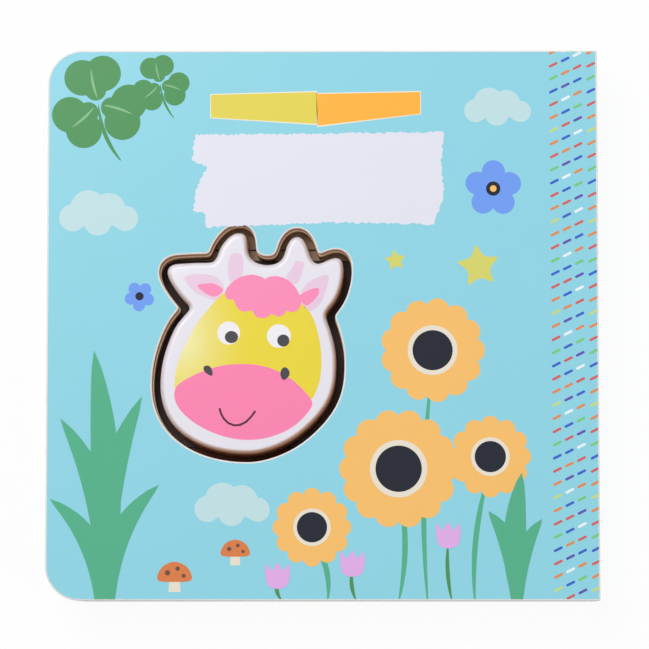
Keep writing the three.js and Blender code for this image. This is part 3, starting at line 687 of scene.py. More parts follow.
def petal_ring(reach: float, petals: int, petal: float, heart: float, turn: float = 0.0) -> list[Lobe]:
    """Return the discs of a blossom: petals of a radius in a ring, and its heart."""
    angles = [turn + math.tau * i / petals for i in range(petals)]
    return [(reach * math.cos(a), reach * math.sin(a), petal) for a in angles] + [(0.0, 0.0, heart)]


def cloud(x: float, y: float, size: float = 1.0) -> Loop:
    """Return a cloud of five discs about a point."""
    discs = [(-9, -1.5, 5), (-3.5, 2, 6.5), (4, 1.5, 6), (10, -1.8, 4.6), (0, -3, 5)]
    return lobed(x, y, [(a * size, b * size, radius * size) for a, b, radius in discs], 160)


def blade(base: Point, tip: Point, width: float, bend: float, count: int = 14) -> Loop:
    """Draw a leaf or a stalk that tapers at both ends.

    Args:
        base: Lower end.
        tip: Upper end.
        width: Greatest width.
        bend: Sideways bow of its middle line.
        count: Points along each side.

    Returns:
        The outline.
    """
    start, end = Vector(base), Vector(tip)
    side = Vector((-(end - start).y, (end - start).x)).normalized()
    left, right = [], []
    for i in range(count + 1):
        share = i / count
        middle = start.lerp(end, share) + side * bend * 4 * share * (1 - share)
        half = side * width / 2 * math.sin(math.pi * min(1.0, 0.06 + 0.94 * share)) ** 0.7
        left.append(tuple(middle + half))
        right.append(tuple(middle - half))
    return left + right[::-1][1:]


def stroke(points: list[Point], width: float) -> Loop:
    """Return an even stroke of a width along points."""
    line = [Vector(p) for p in points]
    left, right = [], []
    for i, point in enumerate(line):
        along = (line[min(i + 1, len(line) - 1)] - line[max(i - 1, 0)]).normalized()
        side = Vector((-along.y, along.x)) * width / 2
        left.append(tuple(point + side))
        right.append(tuple(point - side))
    return left + right[::-1]


def clipped(loop: Loop, edge: float) -> Loop:
    """Cut a loop off where it passes the four sides of a square board.

    Args:
        loop: Outline to cut.
        edge: Distance of each side from the middle.

    Returns:
        The part inside.
    """
    for across, up in ((1, 0), (-1, 0), (0, 1), (0, -1)):
        kept: Loop = []
        for (x0, y0), (x1, y1) in zip(loop, loop[1:] + loop[:1]):
            d0, d1 = edge - across * x0 - up * y0, edge - across * x1 - up * y1
            if d0 >= 0:
                kept.append((x0, y0))
            if (d0 >= 0) != (d1 >= 0):
                share = d0 / (d0 - d1)
                kept.append((x0 + (x1 - x0) * share, y0 + (y1 - y0) * share))
        loop = kept
    return loop


def ragged(corners: list[Point], pitch: float, depth: float, seed: int) -> Loop:
    """Roughen the outline of a field as a dry brush does.

    Args:
        corners: Corners of the field.
        pitch: Spacing of the bristle marks.
        depth: Most that a mark goes in or out.
        seed: Start of the random numbers.

    Returns:
        The roughened loop.
    """
    rng = random.Random(seed)
    loop = []
    for (x0, y0), (x1, y1) in zip(corners, corners[1:] + corners[:1]):
        length = math.hypot(x1 - x0, y1 - y0)
        steps = max(2, int(length / pitch))
        for i in range(steps):
            share = i / steps
            out = rng.uniform(-depth, depth)
            x = x0 + (x1 - x0) * share + out * (y1 - y0) / length
            y = y0 + (y1 - y0) * share - out * (x1 - x0) / length
            loop.append((x, y))
    return loop


# Helpers for meshes


def new_piece(
    name: str, mesh: Mesh, body: str, replaces: tuple[str, ...] = ()
) -> bpy.types.Object:
    """Put a finished mesh into the scene as a piece of the object.

    Args:
        name: Name of the piece.
        mesh: Its mesh, in place.
        body: CAD body that it rides on.
        replaces: CAD nodes that it stands for.

    Returns:
        The piece.
    """
    piece = bpy.data.objects.new(name, mesh)
    bpy.context.scene.collection.objects.link(piece)
    if body:
        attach(piece, body)
    if replaces:
        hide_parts(*replaces)
    LOG.info("%s: %d faces on %s", name, len(mesh.polygons), body or "two bodies")
    return piece


def from_bmesh(name: str, bm: bmesh.types.BMesh, *paints: Paint) -> Mesh:
    """Turn a bmesh into a mesh with its materials."""
    mesh = bpy.data.meshes.new(name)
    bm.to_mesh(mesh)
    bm.free()
    for paint in paints:
        mesh.materials.append(paint.material())
    return mesh


def set_shading(mesh: Mesh, sharp: float = 32.0) -> None:
    """Keep edges past an angle sharp, and shade level faces flat and the rest smooth."""
    mesh.set_sharp_from_angle(angle=math.radians(sharp))
    for polygon in mesh.polygons:
        polygon.use_smooth = abs(polygon.normal.z) < 0.9995


def board_mesh(
    name: str, loops: list[Loop], low: float, high: float, ease: float, facets: int = 2
) -> Mesh:
    """Make a board with eased edges from flat outlines.

    Args:
        name: Name of the mesh.
        loops: Outer outline, then the holes.
        low: Level of its lower face.
        high: Level of its upper face.
        ease: Radius of its pressed edges.
        facets: Fineness of the round edges.

    Returns:
        The mesh, in metres.
    """
    curve = bpy.data.curves.new(name, "CURVE")
    curve.dimensions = "2D"
    curve.fill_mode = "BOTH"
    curve.extrude = ((high - low) / 2 - ease) * MM
    curve.bevel_depth = ease * MM
    curve.bevel_resolution = facets
    curve.offset = -ease * MM
    for loop in loops:
        spline = curve.splines.new("POLY")
        spline.points.add(len(loop) - 1)
        for point, (x, y) in zip(spline.points, loop):
            point.co = (x * MM, y * MM, 0, 1)
        spline.use_cyclic_u = True
    holder = bpy.data.objects.new(name, curve)
    bpy.context.scene.collection.objects.link(holder)
    bpy.context.view_layer.update()
    mesh = bpy.data.meshes.new_from_object(holder.evaluated_get(bpy.context.evaluated_depsgraph_get()))
    bpy.data.objects.remove(holder)
    bpy.data.curves.remove(curve)
    mesh.transform(Matrix.Translation((0, 0, (low + high) / 2 * MM)))
    bm = bmesh.new()
    bm.from_mesh(mesh)
    bmesh.ops.remove_doubles(bm, verts=bm.verts, dist=1e-7)
    bmesh.ops.recalc_face_normals(bm, faces=bm.faces)
    bm.to_mesh(mesh)
    bm.free()
    return mesh


def prism(bm: bmesh.types.BMesh, loop: Loop, low: float, high: float) -> None:
    """Raise a closed outline into a thin plate.

    Args:
        bm: Bmesh that the plate goes into.
        loop: Outline in millimetres.
        low: Lower level.
        high: Upper level.
    """
    verts = [bm.verts.new((x * MM, y * MM, low * MM)) for x, y in turned_left(loop)]
    under = bm.faces.new(verts)
    under.normal_update()
    raised = bmesh.ops.extrude_face_region(bm, geom=[under], use_keep_orig=True)
    lifted = [g for g in raised["geom"] if isinstance(g, bmesh.types.BMVert)]
    bmesh.ops.translate(bm, verts=lifted, vec=(0, 0, (high - low) * MM))
    under.normal_flip()


def cut_grid(bm: bmesh.types.BMesh, lines: int, top_only: bool = False) -> None:
    """Cut a mesh along a square grid, so that it can be bowed.

    Args:
        bm: Bmesh to cut.
        lines: Lines of the grid on each side of the middle.
        top_only: True to cut only the faces that look straight up.
    """
    for i in range(-lines, lines + 1):
        for normal in ((1, 0, 0), (0, 1, 0)):
            place = (i * GRID * MM * normal[0], i * GRID * MM * normal[1], 0)
            geom = bm.verts[:] + bm.edges[:] + bm.faces[:]
            if top_only:
                tops = [f for f in bm.faces if f.normal.z > 0.999]
                geom = list({g for f in tops for g in (*f.verts, *f.edges, f)})
            bmesh.ops.bisect_plane(bm, geom=geom, plane_co=place, plane_no=normal)


def paint_by(mesh: Mesh, paints: list[Paint], choose: Rule | None = None) -> None:
    """Give each face the paint that a rule picks.

    Args:
        mesh: Mesh to paint.
        paints: Paints in slot order.
        choose: Takes a polygon and gives one of the paints, where there are several.
    """
    mesh.materials.clear()
    for paint in paints:
        mesh.materials.append(paint.material())
    for polygon in mesh.polygons:
        polygon.material_index = paints.index(choose(polygon)) if choose else 0


def eased_piece(
    nodes: dict[str, bpy.types.Object], name: str, node: str, width: float,
    paints: list[Paint], choose: Rule | None = None, sharp: float = 32.0,
) -> bpy.types.Object:
    """Replace a CAD node of the book's body by a copy with eased corners.

    Args:
        nodes: The CAD nodes by name.
        name: Name of the piece.
        node: Node that it stands for.
        width: Width of the eased corners in millimetres.
        paints: Paints in slot order.
        choose: Rule that picks each face's paint, where there are several.
        sharp: Angle in degrees past which edges stay sharp.

    Returns:
        The piece.
    """
    bm = bmesh.new()
    bm.from_mesh(nodes[node].data)
    bmesh.ops.remove_doubles(bm, verts=bm.verts, dist=1e-6)
    bmesh.ops.dissolve_limit(
        bm, angle_limit=math.radians(1), verts=bm.verts, edges=bm.edges, delimit=set()
    )
    edges = [e for e in bm.edges if len(e.link_faces) == 2 and e.calc_face_angle(0) > math.radians(35)]
    bmesh.ops.bevel(
        bm, geom=edges, offset=width * MM, offset_type="OFFSET", segments=2, profile=0.5,
        affect="EDGES", material=-1, clamp_overlap=True,
    )
    mesh = from_bmesh(name, bm)
    paint_by(mesh, paints, choose)
    set_shading(mesh, sharp)
    return new_piece(name, mesh, "book", (node,))


# The book's own sizes


@dataclass
class HeadShape:
    """Outline of the animal's head and of the well that it stands in."""

    x: float = -26.5
    y: float = -7.0
    clearance: float = 3.0
    tighter: float = -0.3
    register: Point = (0.3, -0.4)
    middle: Point = (250.0, 345.0)
    traced: Loop = field(
        default_factory=lambda: [
            (190.9, 309.5), (184.5, 302.5), (177, 293), (171, 283.5), (167.8, 275), (169.3, 268.8),
            (175, 265.5), (184, 264.8), (196.4, 264), (208, 263.9), (214, 262.9), (217.6, 257.5),
            (220.6, 249.5), (225, 243), (230, 237.8), (235, 234.9), (240, 234.2), (244.5, 235.6),
            (247, 239.5), (247.9, 245.5), (248.3, 252), (250.2, 258.2), (254.5, 262.8), (262, 265.8),
            (270, 266.3), (277.5, 264.4), (282.8, 259.8), (285.6, 252.7), (288.2, 245), (292.5, 239.6),
            (297.5, 237.8), (302.6, 239.8), (306.6, 246), (309.6, 254.5), (312.7, 262), (317.5, 265.2),
            (323.6, 263.5), (330.8, 260.2), (336.9, 259), (341.6, 261.4), (343.6, 267.5), (343.6, 278),
            (341, 291), (335.5, 303.5), (328, 313), (326.3, 318.5), (329.5, 328), (333.5, 341.2),
            (336.2, 356), (336.4, 372), (335, 387), (330.5, 401), (323, 413.5), (311, 427), (296, 439.5),
            (278, 449), (260, 454.4), (248, 455.5), (230, 454.4), (208, 449.3), (189, 440), (175, 428),
            (166, 413), (161.8, 397), (161.3, 381), (163.5, 363), (168.5, 346), (176, 328.5),
            (184.5, 317.5),
        ]
    )

    def head(self) -> Loop:
        """Return the head's outline about its own middle."""
        drawn = [((x - self.middle[0]) * PHOTO_MM, (self.middle[1] - y) * PHOTO_MM) for x, y in self.traced]
        return turned_left(smooth_loop(drawn, 4, 3))

    def well(self, extra: float = 0.0) -> Loop:
        """Return the well's outline in place on the book, grown by a little extra where asked."""
        return moved(evened(grown(self.head(), self.clearance + extra), 0.8, 2), self.x, self.y)

    def leaf_well(self, extra: float = 0.0) -> Loop:
        """Return the well's outline in the leaves, punched a little tighter and out of register."""
        return moved(self.well(self.tighter + extra), *self.register)


@dataclass
class BookLevels:
    """Levels of the layers, from the back cover up, and the shared plan sizes."""

    width: float = 200.0
    height: float = 200.0
    corner: float = 12.5
    lid_top: float = 14.0
    inner_top: float = 15.5
    leaf: float = 1.875
    leaf_gap: float = 0.25
    leaves: int = 5
    cover_under: float = 26.125
    cover_top: float = 28.625
    spine_inside: float = 98.0

    def outline(self, edge: float = 100.0, inset: float = 0.0) -> Loop:
        """Return a board's outline, round at the fore edge, up to a right-hand edge.

        Args:
            edge: X of the straight right-hand edge.
            inset: How far the other three sides are set in.

        Returns:
            The outline.
        """
        left, top = -self.width / 2 + inset, self.height / 2 - inset
        radius = self.corner - inset
        loop = [(edge, -top), (edge, top)]
        loop += quarter(left + radius, top - radius, radius, 90)
        return loop + quarter(left + radius, -top + radius, radius, 180)

    def page_top(self) -> float:
        """Return the level of the first page."""
        return self.inner_top + self.leaves * (self.leaf + self.leaf_gap) - self.leaf_gap


@dataclass
class Boards:
    """Cover boards, spine, leaves and the boards of the module layer."""

    levels: BookLevels
    shape: HeadShape
    nodes: dict[str, bpy.types.Object]
    ink: float = 0.12
    cover_ease: float = 0.55
    hinge_gap: float = 0.02
    leaf_ease: float = 0.22
    core_inset: float = 1.2
    core_gap: float = 0.3
    core_well: float = 0.6
    border: float = 2.6
    sheet: float = 0.06
    sheet_x: float = 99.94
    sheet_end: float = 99.6
    sheet_down: float = 1.2
    sheet_up: float = 0.9

    def wall_rule(self, top: Paint, under: Paint, steep: float = 0.2) -> Rule:
        """Return the rule that paints a board with the well cut through it.

        Args:
            top: Paint of its upper face.
            under: Paint of its lower face.
            steep: Highest slope of the faces that count as the well's wall.

        Returns:
            A function from polygon to paint.
        """
        well = moved(self.shape.well(), -self.shape.x, -self.shape.y)
        reach = max(abs(x) for x, _ in well) + 1, max(abs(y) for _, y in well) + 1

        def choose(polygon: Polygon) -> Paint:
            """Pick a paint by where a face points and lies."""
            if polygon.normal.z > 0.98:
                return top
            if polygon.normal.z < -0.98:
                return under
            x, y = polygon.center.x / MM - self.shape.x, polygon.center.y / MM - self.shape.y
            in_well = abs(x) < reach[0] and abs(y) < reach[1]
            return Paint.WALL if in_well and abs(polygon.normal.z) < steep else Paint.EDGE

        return choose

    def front(self) -> None:
        """Build the front cover's board with its print, its white cut edge and its brown well wall."""
        loops = [self.levels.outline(self.levels.width / 2 - self.hinge_gap), self.shape.well()]
        low, high = self.levels.cover_under, self.levels.cover_top - self.ink
        mesh = board_mesh("cover_board", loops, low, high, self.cover_ease)
        paints = [Paint.GROUND, Paint.INSIDE, Paint.EDGE, Paint.WALL]
        paint_by(mesh, paints, self.wall_rule(Paint.GROUND, Paint.INSIDE))
        set_shading(mesh)
        new_piece("cover_board", mesh, "front_cover", ("front_cover",))

    def leaves(self) -> None:
        """Build the leaves with pressed edges, the core that closes their gaps, and the well's border."""
        bm = bmesh.new()
        base = self.levels.inner_top
        pitch = self.levels.leaf + self.levels.leaf_gap
        for leaf in range(self.levels.leaves):
            low = base + leaf * pitch
            loops = [self.levels.outline(self.levels.spine_inside), self.shape.leaf_well()]
            mesh = board_mesh("leaf", loops, low, low + self.levels.leaf, self.leaf_ease)
            bm.from_mesh(mesh)
            bpy.data.meshes.remove(mesh)
        top = self.levels.page_top()
        inset = self.levels.outline(self.levels.spine_inside - self.core_inset, self.core_inset)
        loops = [inset, self.shape.well(self.core_well)]
        core = board_mesh("core", loops, base + self.core_gap, top - self.core_gap, 0.05)
        bm.from_mesh(core)
        bpy.data.meshes.remove(core)
        mesh = from_bmesh("page_leaves", bm)
        rule = self.wall_rule(Paint.INSIDE, Paint.INSIDE, 0.98)
        paint_by(mesh, [Paint.INSIDE, Paint.EDGE, Paint.WALL], rule)
        set_shading(mesh)
        new_piece("page_leaves", mesh, "book", ("page_block",))
        rings = [self.shape.leaf_well(self.border), self.shape.leaf_well(self.leaf_ease)]
        border = board_mesh("well_border", rings, top - 0.06, top + 0.02, 0.01)
        paint_by(border, [Paint.BORDER])
        set_shading(border)
        new_piece("well_border", border, "book")

    def inner(self) -> None:
        """Build the board that closes the module layer."""
        loops = [self.levels.outline(self.levels.spine_inside), self.shape.well()]
        mesh = board_mesh("module_cover", loops, self.levels.lid_top, self.levels.inner_top, 0.12)
        paint_by(mesh, [Paint.GREY, Paint.WALL, Paint.EDGE], self.wall_rule(Paint.GREY, Paint.GREY))
        set_shading(mesh)
        new_piece("module_cover", mesh, "book", ("inner_board",))

    def others(self) -> None:
        """Build the frame of the module layer, the spine and the back cover from their CAD shapes."""

        def spine_rule(polygon: Polygon) -> Paint:
            """Print on the outer face, bare board elsewhere."""
            return Paint.GROUND if polygon.normal.x > 0.6 else Paint.EDGE

        def back_rule(polygon: Polygon) -> Paint:
            """Print on the outer face, lining inside, bare board at the cuts."""
            if polygon.normal.z < -0.6:
                return Paint.GROUND
            return Paint.GREY if polygon.normal.z > 0.6 else Paint.EDGE

        def frame_rule(polygon: Polygon) -> Paint:
            """Brown paper on the upper face, bare board elsewhere."""
            # The brown paper's paint is dark before the middle of the book and light past it, as painted
            # shade and painted light.
            return Paint.BROWN if polygon.normal.z > 0.9 else Paint.EDGE

        paints = [Paint.GROUND, Paint.EDGE]
        eased_piece(self.nodes, "spine_board", "spine", 0.3, paints, spine_rule)
        paints = [Paint.GROUND, Paint.GREY, Paint.EDGE]
        eased_piece(self.nodes, "back_board", "back_cover", 0.25, paints, back_rule)
        paints = [Paint.EDGE, Paint.BROWN]
        eased_piece(self.nodes, "module_surround", "module_frame", 0.2, paints, frame_rule)

    def crease(self) -> None:
        """Build the printed sheet that bridges the cover and the spine at the hinge."""
        bm = bmesh.new()
        low, high = self.levels.cover_under - self.sheet_down, self.levels.cover_under + self.sheet_up
        rise = [low + (high - low) * i / 10 for i in range(11)]
        verts = [bm.verts.new((self.sheet_x * MM, -self.sheet_end * MM, z * MM)) for z in rise]
        edges = [bm.edges.new(pair) for pair in zip(verts, verts[1:])]
        swept = bmesh.ops.extrude_edge_only(bm, edges=edges)
        far = [g for g in swept["geom"] if isinstance(g, bmesh.types.BMVert)]
        bmesh.ops.translate(bm, verts=far, vec=(0, 2 * self.sheet_end * MM, 0))
        bmesh.ops.recalc_face_normals(bm, faces=bm.faces)
        bmesh.ops.solidify(bm, geom=bm.faces[:], thickness=self.sheet * MM)
        bmesh.ops.recalc_face_normals(bm, faces=bm.faces)
        mesh = from_bmesh("hinge_crease", bm, Paint.GROUND)
        set_shading(mesh)
        crease = new_piece("hinge_crease", mesh, "")
        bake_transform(crease)

    def build(self) -> None:
        """Build every board."""
        self.front()
        self.leaves()
        self.inner()
        self.others()
        self.crease()


@dataclass
class CoverPrint:
    """Bare title fields, the dashed border and a plain garden pattern on the front cover."""

    levels: BookLevels
    board: float = 0.12
    sunk: float = 0.16
    step: float = 0.02
    apart: float = 0.002
    reach: float = 99.5

    def field(self, name: str, paint: Paint, loops: list[Loop], layer: int) -> None:
        """Lay one ink on the cover.

        Args:
            name: Name of the piece.
            paint: The ink.
            loops: Outlines in millimetres.
            layer: Which ink over the ground it is, from 1.
        """
        bm = bmesh.new()
        low, high = self.levels.cover_top - self.sunk, self.levels.cover_top - self.board + layer * self.step
        kept = [inside for inside in (clipped(loop, self.reach) for loop in loops) if len(inside) > 2]
        for i, loop in enumerate(kept):
            prism(bm, loop, low - 2 * self.apart * i, high + self.apart * (i % 8))
        mesh = from_bmesh(name, bm, paint)
        new_piece(name, mesh, "front_cover")

    def title(self) -> None:
        """Lay the two ribbons and the brushed field under them, all bare."""
        corners = [
            (195, 136), (443, 133), (441, 170), (444, 196), (434, 226), (330, 224), (207, 229), (204, 214),
            (193, 213), (196, 192), (207, 167), (192, 162),
        ]
        field_loop = ragged(placed(corners), 0.7, 0.42, 7)
        self.field("title_field", Paint.TITLE, [field_loop], 1)
        yellow = [(210, 94.5), (317, 91.5), (317.6, 126), (210, 119)]
        orange = [(315.5, 93.5), (421, 91.5), (421, 115), (317.4, 128)]
        ribbons = (("yellow", yellow, Paint.RIBBON_YELLOW), ("orange", orange, Paint.RIBBON_ORANGE))
        for name, edge, fill in ribbons:
            middle = Vector((sum(x for x, _ in edge) / 4, sum(y for _, y in edge) / 4))
            inner = [
                (middle.x + (x - middle.x) * 0.985, middle.y + (y - middle.y) * 0.93) for x, y in edge
            ]
            self.field(f"{name}_ribbon_border", Paint.RIBBON_EDGE, [placed(edge)], 1)
            self.field(f"{name}_ribbon", fill, [placed(inner)], 2)

    def dashes(self) -> None:
        """Lay the border of slanting dashes along the spine."""
        columns = [
            (553.5, 52.0, ["ORANGE", "RED", "GREEN", "BLUE", "RED", "ORANGE", "LIME"]),
            (565.5, 59.7, ["BLUE", "ORANGE", "PURPLE", "WHITE", "BLUE", "RED"]),
            (577.5, 54.3, ["WHITE", "RED", "BLUE", "ORANGE", "GREEN", "PURPLE"]),
            (591.0, 52.0, ["ORANGE", "RED", "GREEN", "BLUE", "RED", "ORANGE", "LIME"]),
        ]
        loops: dict[str, list[Loop]] = {}
        for x, start, cycle in columns:
            for row in range(42):
                y = start + 13.1 * row
                if y > 598:
                    break
                colour = cycle[row % len(cycle)]
                leant = x + (y - 52) * 4.5 / 550 * 0.6  # the border leans by 2.7 pixels
                loops.setdefault(colour, []).append(self.dash(*from_photo(leant, y)))
        for colour, found in loops.items():
            self.field(f"dashes_{colour.lower()}", Paint[f"DASH_{colour}"], found, 1)

    @staticmethod
    def dash(x: float, y: float) -> Loop:
        """Return one slanting dash about a point."""
        long, thick, turn = 1.72, 0.46, math.radians(27)
        cos, sin = math.cos(turn), math.sin(turn)
        flat = [
            (-long, -thick * 0.5), (-long + 0.3, -thick), (long - 0.3, -thick), (long, -thick * 0.5),
            (long, thick * 0.5), (long - 0.3, thick), (-long + 0.3, thick), (-long, thick * 0.5),
        ]
        return [(x + a * cos - b * sin, y + a * sin + b * cos) for a, b in flat]

    @staticmethod
    def bloom(x: float, y: float, reach: float, petals: int, petal: float, turn: float = 0.0) -> Loop:
        """Return a blossom: petals of a radius in a ring about a middle, in the photograph's frame."""
        ring = petal_ring(reach * PHOTO_MM, petals, petal * PHOTO_MM, reach * PHOTO_MM, turn)
        return lobed(*from_photo(x, y), ring, 40 * max(4, petals))

    def garden(self) -> None:
        """Lay the blossoms, grass, clover, clouds and stars."""
        px = from_photo
        blooms = [
            (432, 352, 40, 13, 12), (398, 470, 46, 14, 13), (489, 458, 31, 12, 9.5), (312, 528, 30, 12, 9),
        ]
        stems = []
        for x, y, reach, _, _ in blooms:
            foot = px(x + (400 - x) * 0.18, 599)
            stems.append(blade(foot, px(x, y + reach * 0.4), 2.0, 2.2 if x > 400 else -2.2))
        self.field("blossom_stems", Paint.SPRIG, stems, 1)
        self.field("blossom_petals", Paint.PETAL, [self.bloom(*b) for b in blooms], 2)
        for name, paint, share, layer in (
            ("blossom_rings", Paint.CREAM, 0.62, 3), ("blossom_seeds", Paint.SEED, 0.5, 4),
        ):
            discs = [circle(*px(x, y), reach * share * PHOTO_MM, 56) for x, y, reach, _, _ in blooms]
            self.field(name, paint, discs, layer)
        blades = [
            (104, 62, 420, 9.5, -7), (106, 95, 352, 10.5, -2.5), (110, 143, 398, 9.5, 6),
            (100, 52, 500, 7.5, -6), (114, 160, 486, 7.5, 6), (512, 487, 512, 7.5, -4),
            (514, 520, 474, 8, 1.5), (518, 540, 520, 6.5, 3.5),
        ]
        grass = [blade(px(foot, 599), px(x, y), width, bend) for foot, x, y, width, bend in blades]
        self.field("grass", Paint.SPRIG, grass, 5)
        self.clover(98, 104, 25)
        self.clover(160, 84, 15)
        clouds = [(98, 215, 1.0), (497, 108, 0.85), (232, 506, 0.95)]
        self.field("clouds", Paint.CLOUD, [cloud(*px(x, y), size) for x, y, size in clouds], 1)
        self.field("stars", Paint.STAR, [self.star(478, 268, 22), self.star(395, 262, 11)], 1)
        blue = [self.bloom(493, 190, 17, 5, 11.5, 0.3), self.bloom(140, 298, 9, 5, 6, 0.9)]
        self.field("blue_blossom", Paint.BLUE, blue, 1)
        hearts = [circle(*px(493, 190), 2.6), circle(*px(140, 298), 1.5)]
        self.field("blue_blossom_heart", Paint.SEED, hearts, 2)
        self.field("blue_blossom_eye", Paint.PETAL, [circle(*px(493, 190), 1.2, 24)], 3)
        tulips = [(447, 538), (352, 566), (278, 578)]
        stems = [blade(px(x + 3, 599), px(x, y + 4), 1.4, 0.8) for x, y in tulips]
        self.field("tulip_stems", Paint.LEAF, stems, 5)
        self.field("tulips", Paint.LILAC, [self.tulip(x, y) for x, y in tulips], 6)
        self.toadstools()

    def clover(self, x: float, y: float, size: float) -> None:
        """Lay a clover leaf with paler middle lines.

        Args:
            x: Middle in the photograph's frame.
            y: Middle in the photograph's frame.
            size: Radius of a leaflet in its pixels.
        """
        cx, cy = from_photo(x, y)
        reach = size * PHOTO_MM
        leaves, veins = [], []
        for turn in (90, 210, 330):
            angle = math.radians(turn + 12)
            ax, ay = math.cos(angle), math.sin(angle)
            lobes = [
                (reach * (1.15 * ax - side * 0.42 * ay), reach * (1.15 * ay + side * 0.42 * ax), reach * 0.72)
                for side in (-1, 1)
            ]
            lobes.append((reach * 0.55 * ax, reach * 0.55 * ay, reach * 0.42))
            out, up = reach * 0.85 * ax, reach * 0.85 * ay
            leaves.append(lobed(cx + out, cy + up, [(a - out, b - up, r) for a, b, r in lobes]))
            base = (cx + 0.25 * reach * ax, cy + 0.25 * reach * ay)
            tip = (cx + 1.45 * reach * ax, cy + 1.45 * reach * ay)
            veins.append(blade(base, tip, reach * 0.1, reach * 0.05))
        stem = blade((cx + reach * 0.9, cy - reach * 2.3), (cx, cy), reach * 0.16, reach * 0.2)
        tag = f"{int(x)}"
        self.field(f"clover_stem_{tag}", Paint.LEAF, [stem], 1)
        self.field(f"clover_leaves_{tag}", Paint.LEAF, leaves, 2)
        self.field(f"clover_veins_{tag}", Paint.VEIN, veins, 3)

    @staticmethod
    def star(x: float, y: float, reach: float) -> Loop:
        """Return a soft five-pointed star about a point of the photograph's frame."""
        cx, cy = from_photo(x, y)
        tips = []
        for i in range(10):
            angle = math.radians(97 + 36 * i)
            radius = reach * PHOTO_MM * (1 if i % 2 == 0 else 0.52)
            tips.append((cx + radius * math.cos(angle), cy + radius * math.sin(angle)))
        return smooth_loop(tips, 5, 2)

    @staticmethod
    def tulip(x: float, y: float) -> Loop:
        """Return a tulip's cup about a point of the photograph's frame."""
        cup = [
            (0, 11), (-9, 8), (-12, -2), (-11, -14), (-5.5, -7), (0, -15), (5.5, -7), (11, -14), (12, -2),
            (9, 8),
        ]
        return smooth_loop(placed(cup, x, y), 5, 1)

    def toadstools(self) -> None:
        """Lay two small toadstools under the clouds."""
        places = [(236, 552, 0.85), (176, 576, 1.0)]
        caps, stalks, spots = [], [], []
        for x, y, size in places:
            cap = [(-17, 4), (-13, -8), (0, -14), (13, -8), (17, 4), (0, 6)]
            caps.append(smooth_loop(placed(cap, x, y, size), 6, 1))
            foot = [(-5, 2), (5, 2), (6, 16), (-6, 16)]
            stalks.append(placed(foot, x, y, size))
            for a, b, r in ((-7, -3, 2.6), (3, -7, 2.2), (9, 0, 2.0)):
                spots.append(circle(*from_photo(x + a * size, y + b * size), r * size * PHOTO_MM, 20))
        self.field("toadstool_stalks", Paint.CREAM, stalks, 1)
        self.field("toadstool_caps", Paint.RUST, caps, 2)
        self.field("toadstool_spots", Paint.STALK, spots, 3)

    def build(self) -> None:
        """Lay every ink."""
        self.title()
        self.dashes()
        self.garden()


@dataclass
class OpeningSpread:
    """Plain hills, sun, clouds and blossoms inside the front cover and on the first page."""

    levels: BookLevels
    inset: float = 0.6
    film: float = 0.02
    apart: float = 0.002
    sunk: float = 0.04

    def hill(self, right: float, crest: float, swell: float, phase: float) -> Loop:
        """Return a hill on the tail edge of a board.

        Args:
            right: X of its right-hand end.
            crest: Mean level of its top.
            swell: Height of its waves.
            phase: Start of its waves.

        Returns:
            The outline, round at the fore edge's corner.
        """
        left = -self.levels.width / 2 + self.inset
        radius = self.levels.corner - self.inset
        loop = [(right, left)]
        for i in range(41):
            x = right + (left - right) * i / 40
            loop.append((x, crest + swell * math.sin(x / 33 + phase)))
        return loop + quarter(left + radius, left + radius, radius, 180)

    def lay(self, name: str, paint: Paint, loops: list[Loop], layer: int, page: bool) -> None:
        """Lay one ink on the first page or inside the cover.

        Args:
            name: Name of the piece.
            paint: The ink.
            loops: Outlines in millimetres.
            layer: Which ink it is, from 1.
            page: True for the page, False for the cover.
        """
        bm = bmesh.new()
        top = self.levels.page_top()
        for i, loop in enumerate(loops):
            out = self.film * layer + self.apart * i
            if page:
                prism(bm, loop, top - self.sunk, top + out)
            else:
                prism(bm, loop, self.levels.cover_under - out, self.levels.cover_under + self.sunk)
        mesh = from_bmesh(name, bm, paint)
        if page:
            new_piece(name, mesh, "book")
        else:
            new_piece(name, mesh, "front_cover")

    def side(self, page: bool) -> None:
        """Print one side of the spread."""
        tag = "page" if page else "lining"
        right = self.levels.spine_inside - self.inset if page else self.levels.width / 2 - self.inset
        shift = 0.0 if page else 2.1
        self.lay(f"{tag}_far_hill", Paint.MEADOW, [self.hill(right, -66.0, 5.0, 0.9 + shift)], 1, page)
        self.lay(f"{tag}_near_hill", Paint.HILL, [self.hill(right, -80.0, 4.0, 3.6 + shift)], 2, page)
        drift = 1.0 if page else -0.7
        clouds = [cloud(x, y) for x, y in ((-62 * drift, 68), (18 * drift, 80))]
        self.lay(f"{tag}_clouds", Paint.DASH_WHITE, clouds, 1, page)
        if page:
            self.lay("page_sun", Paint.RIBBON_ORANGE, [circle(68, 66, 11, 64)], 1, page)
        places = [(-78, -84), (-52, -90), (-20, -83), (8, -91), (41, -85), (72, -90)]
        rings = [lobed(x, y, petal_ring(3.2, 5, 2.4, 2.0)) for x, y in places]
        self.lay(f"{tag}_blossoms", Paint.CREAM, rings, 3, page)
        hearts = [circle(x, y, 1.7, 24) for x, y in places]
        self.lay(f"{tag}_blossom_hearts", Paint.PETAL, hearts, 4, page)

    def build(self) -> None:
        """Print both sides."""
        self.side(True)
        self.side(False)


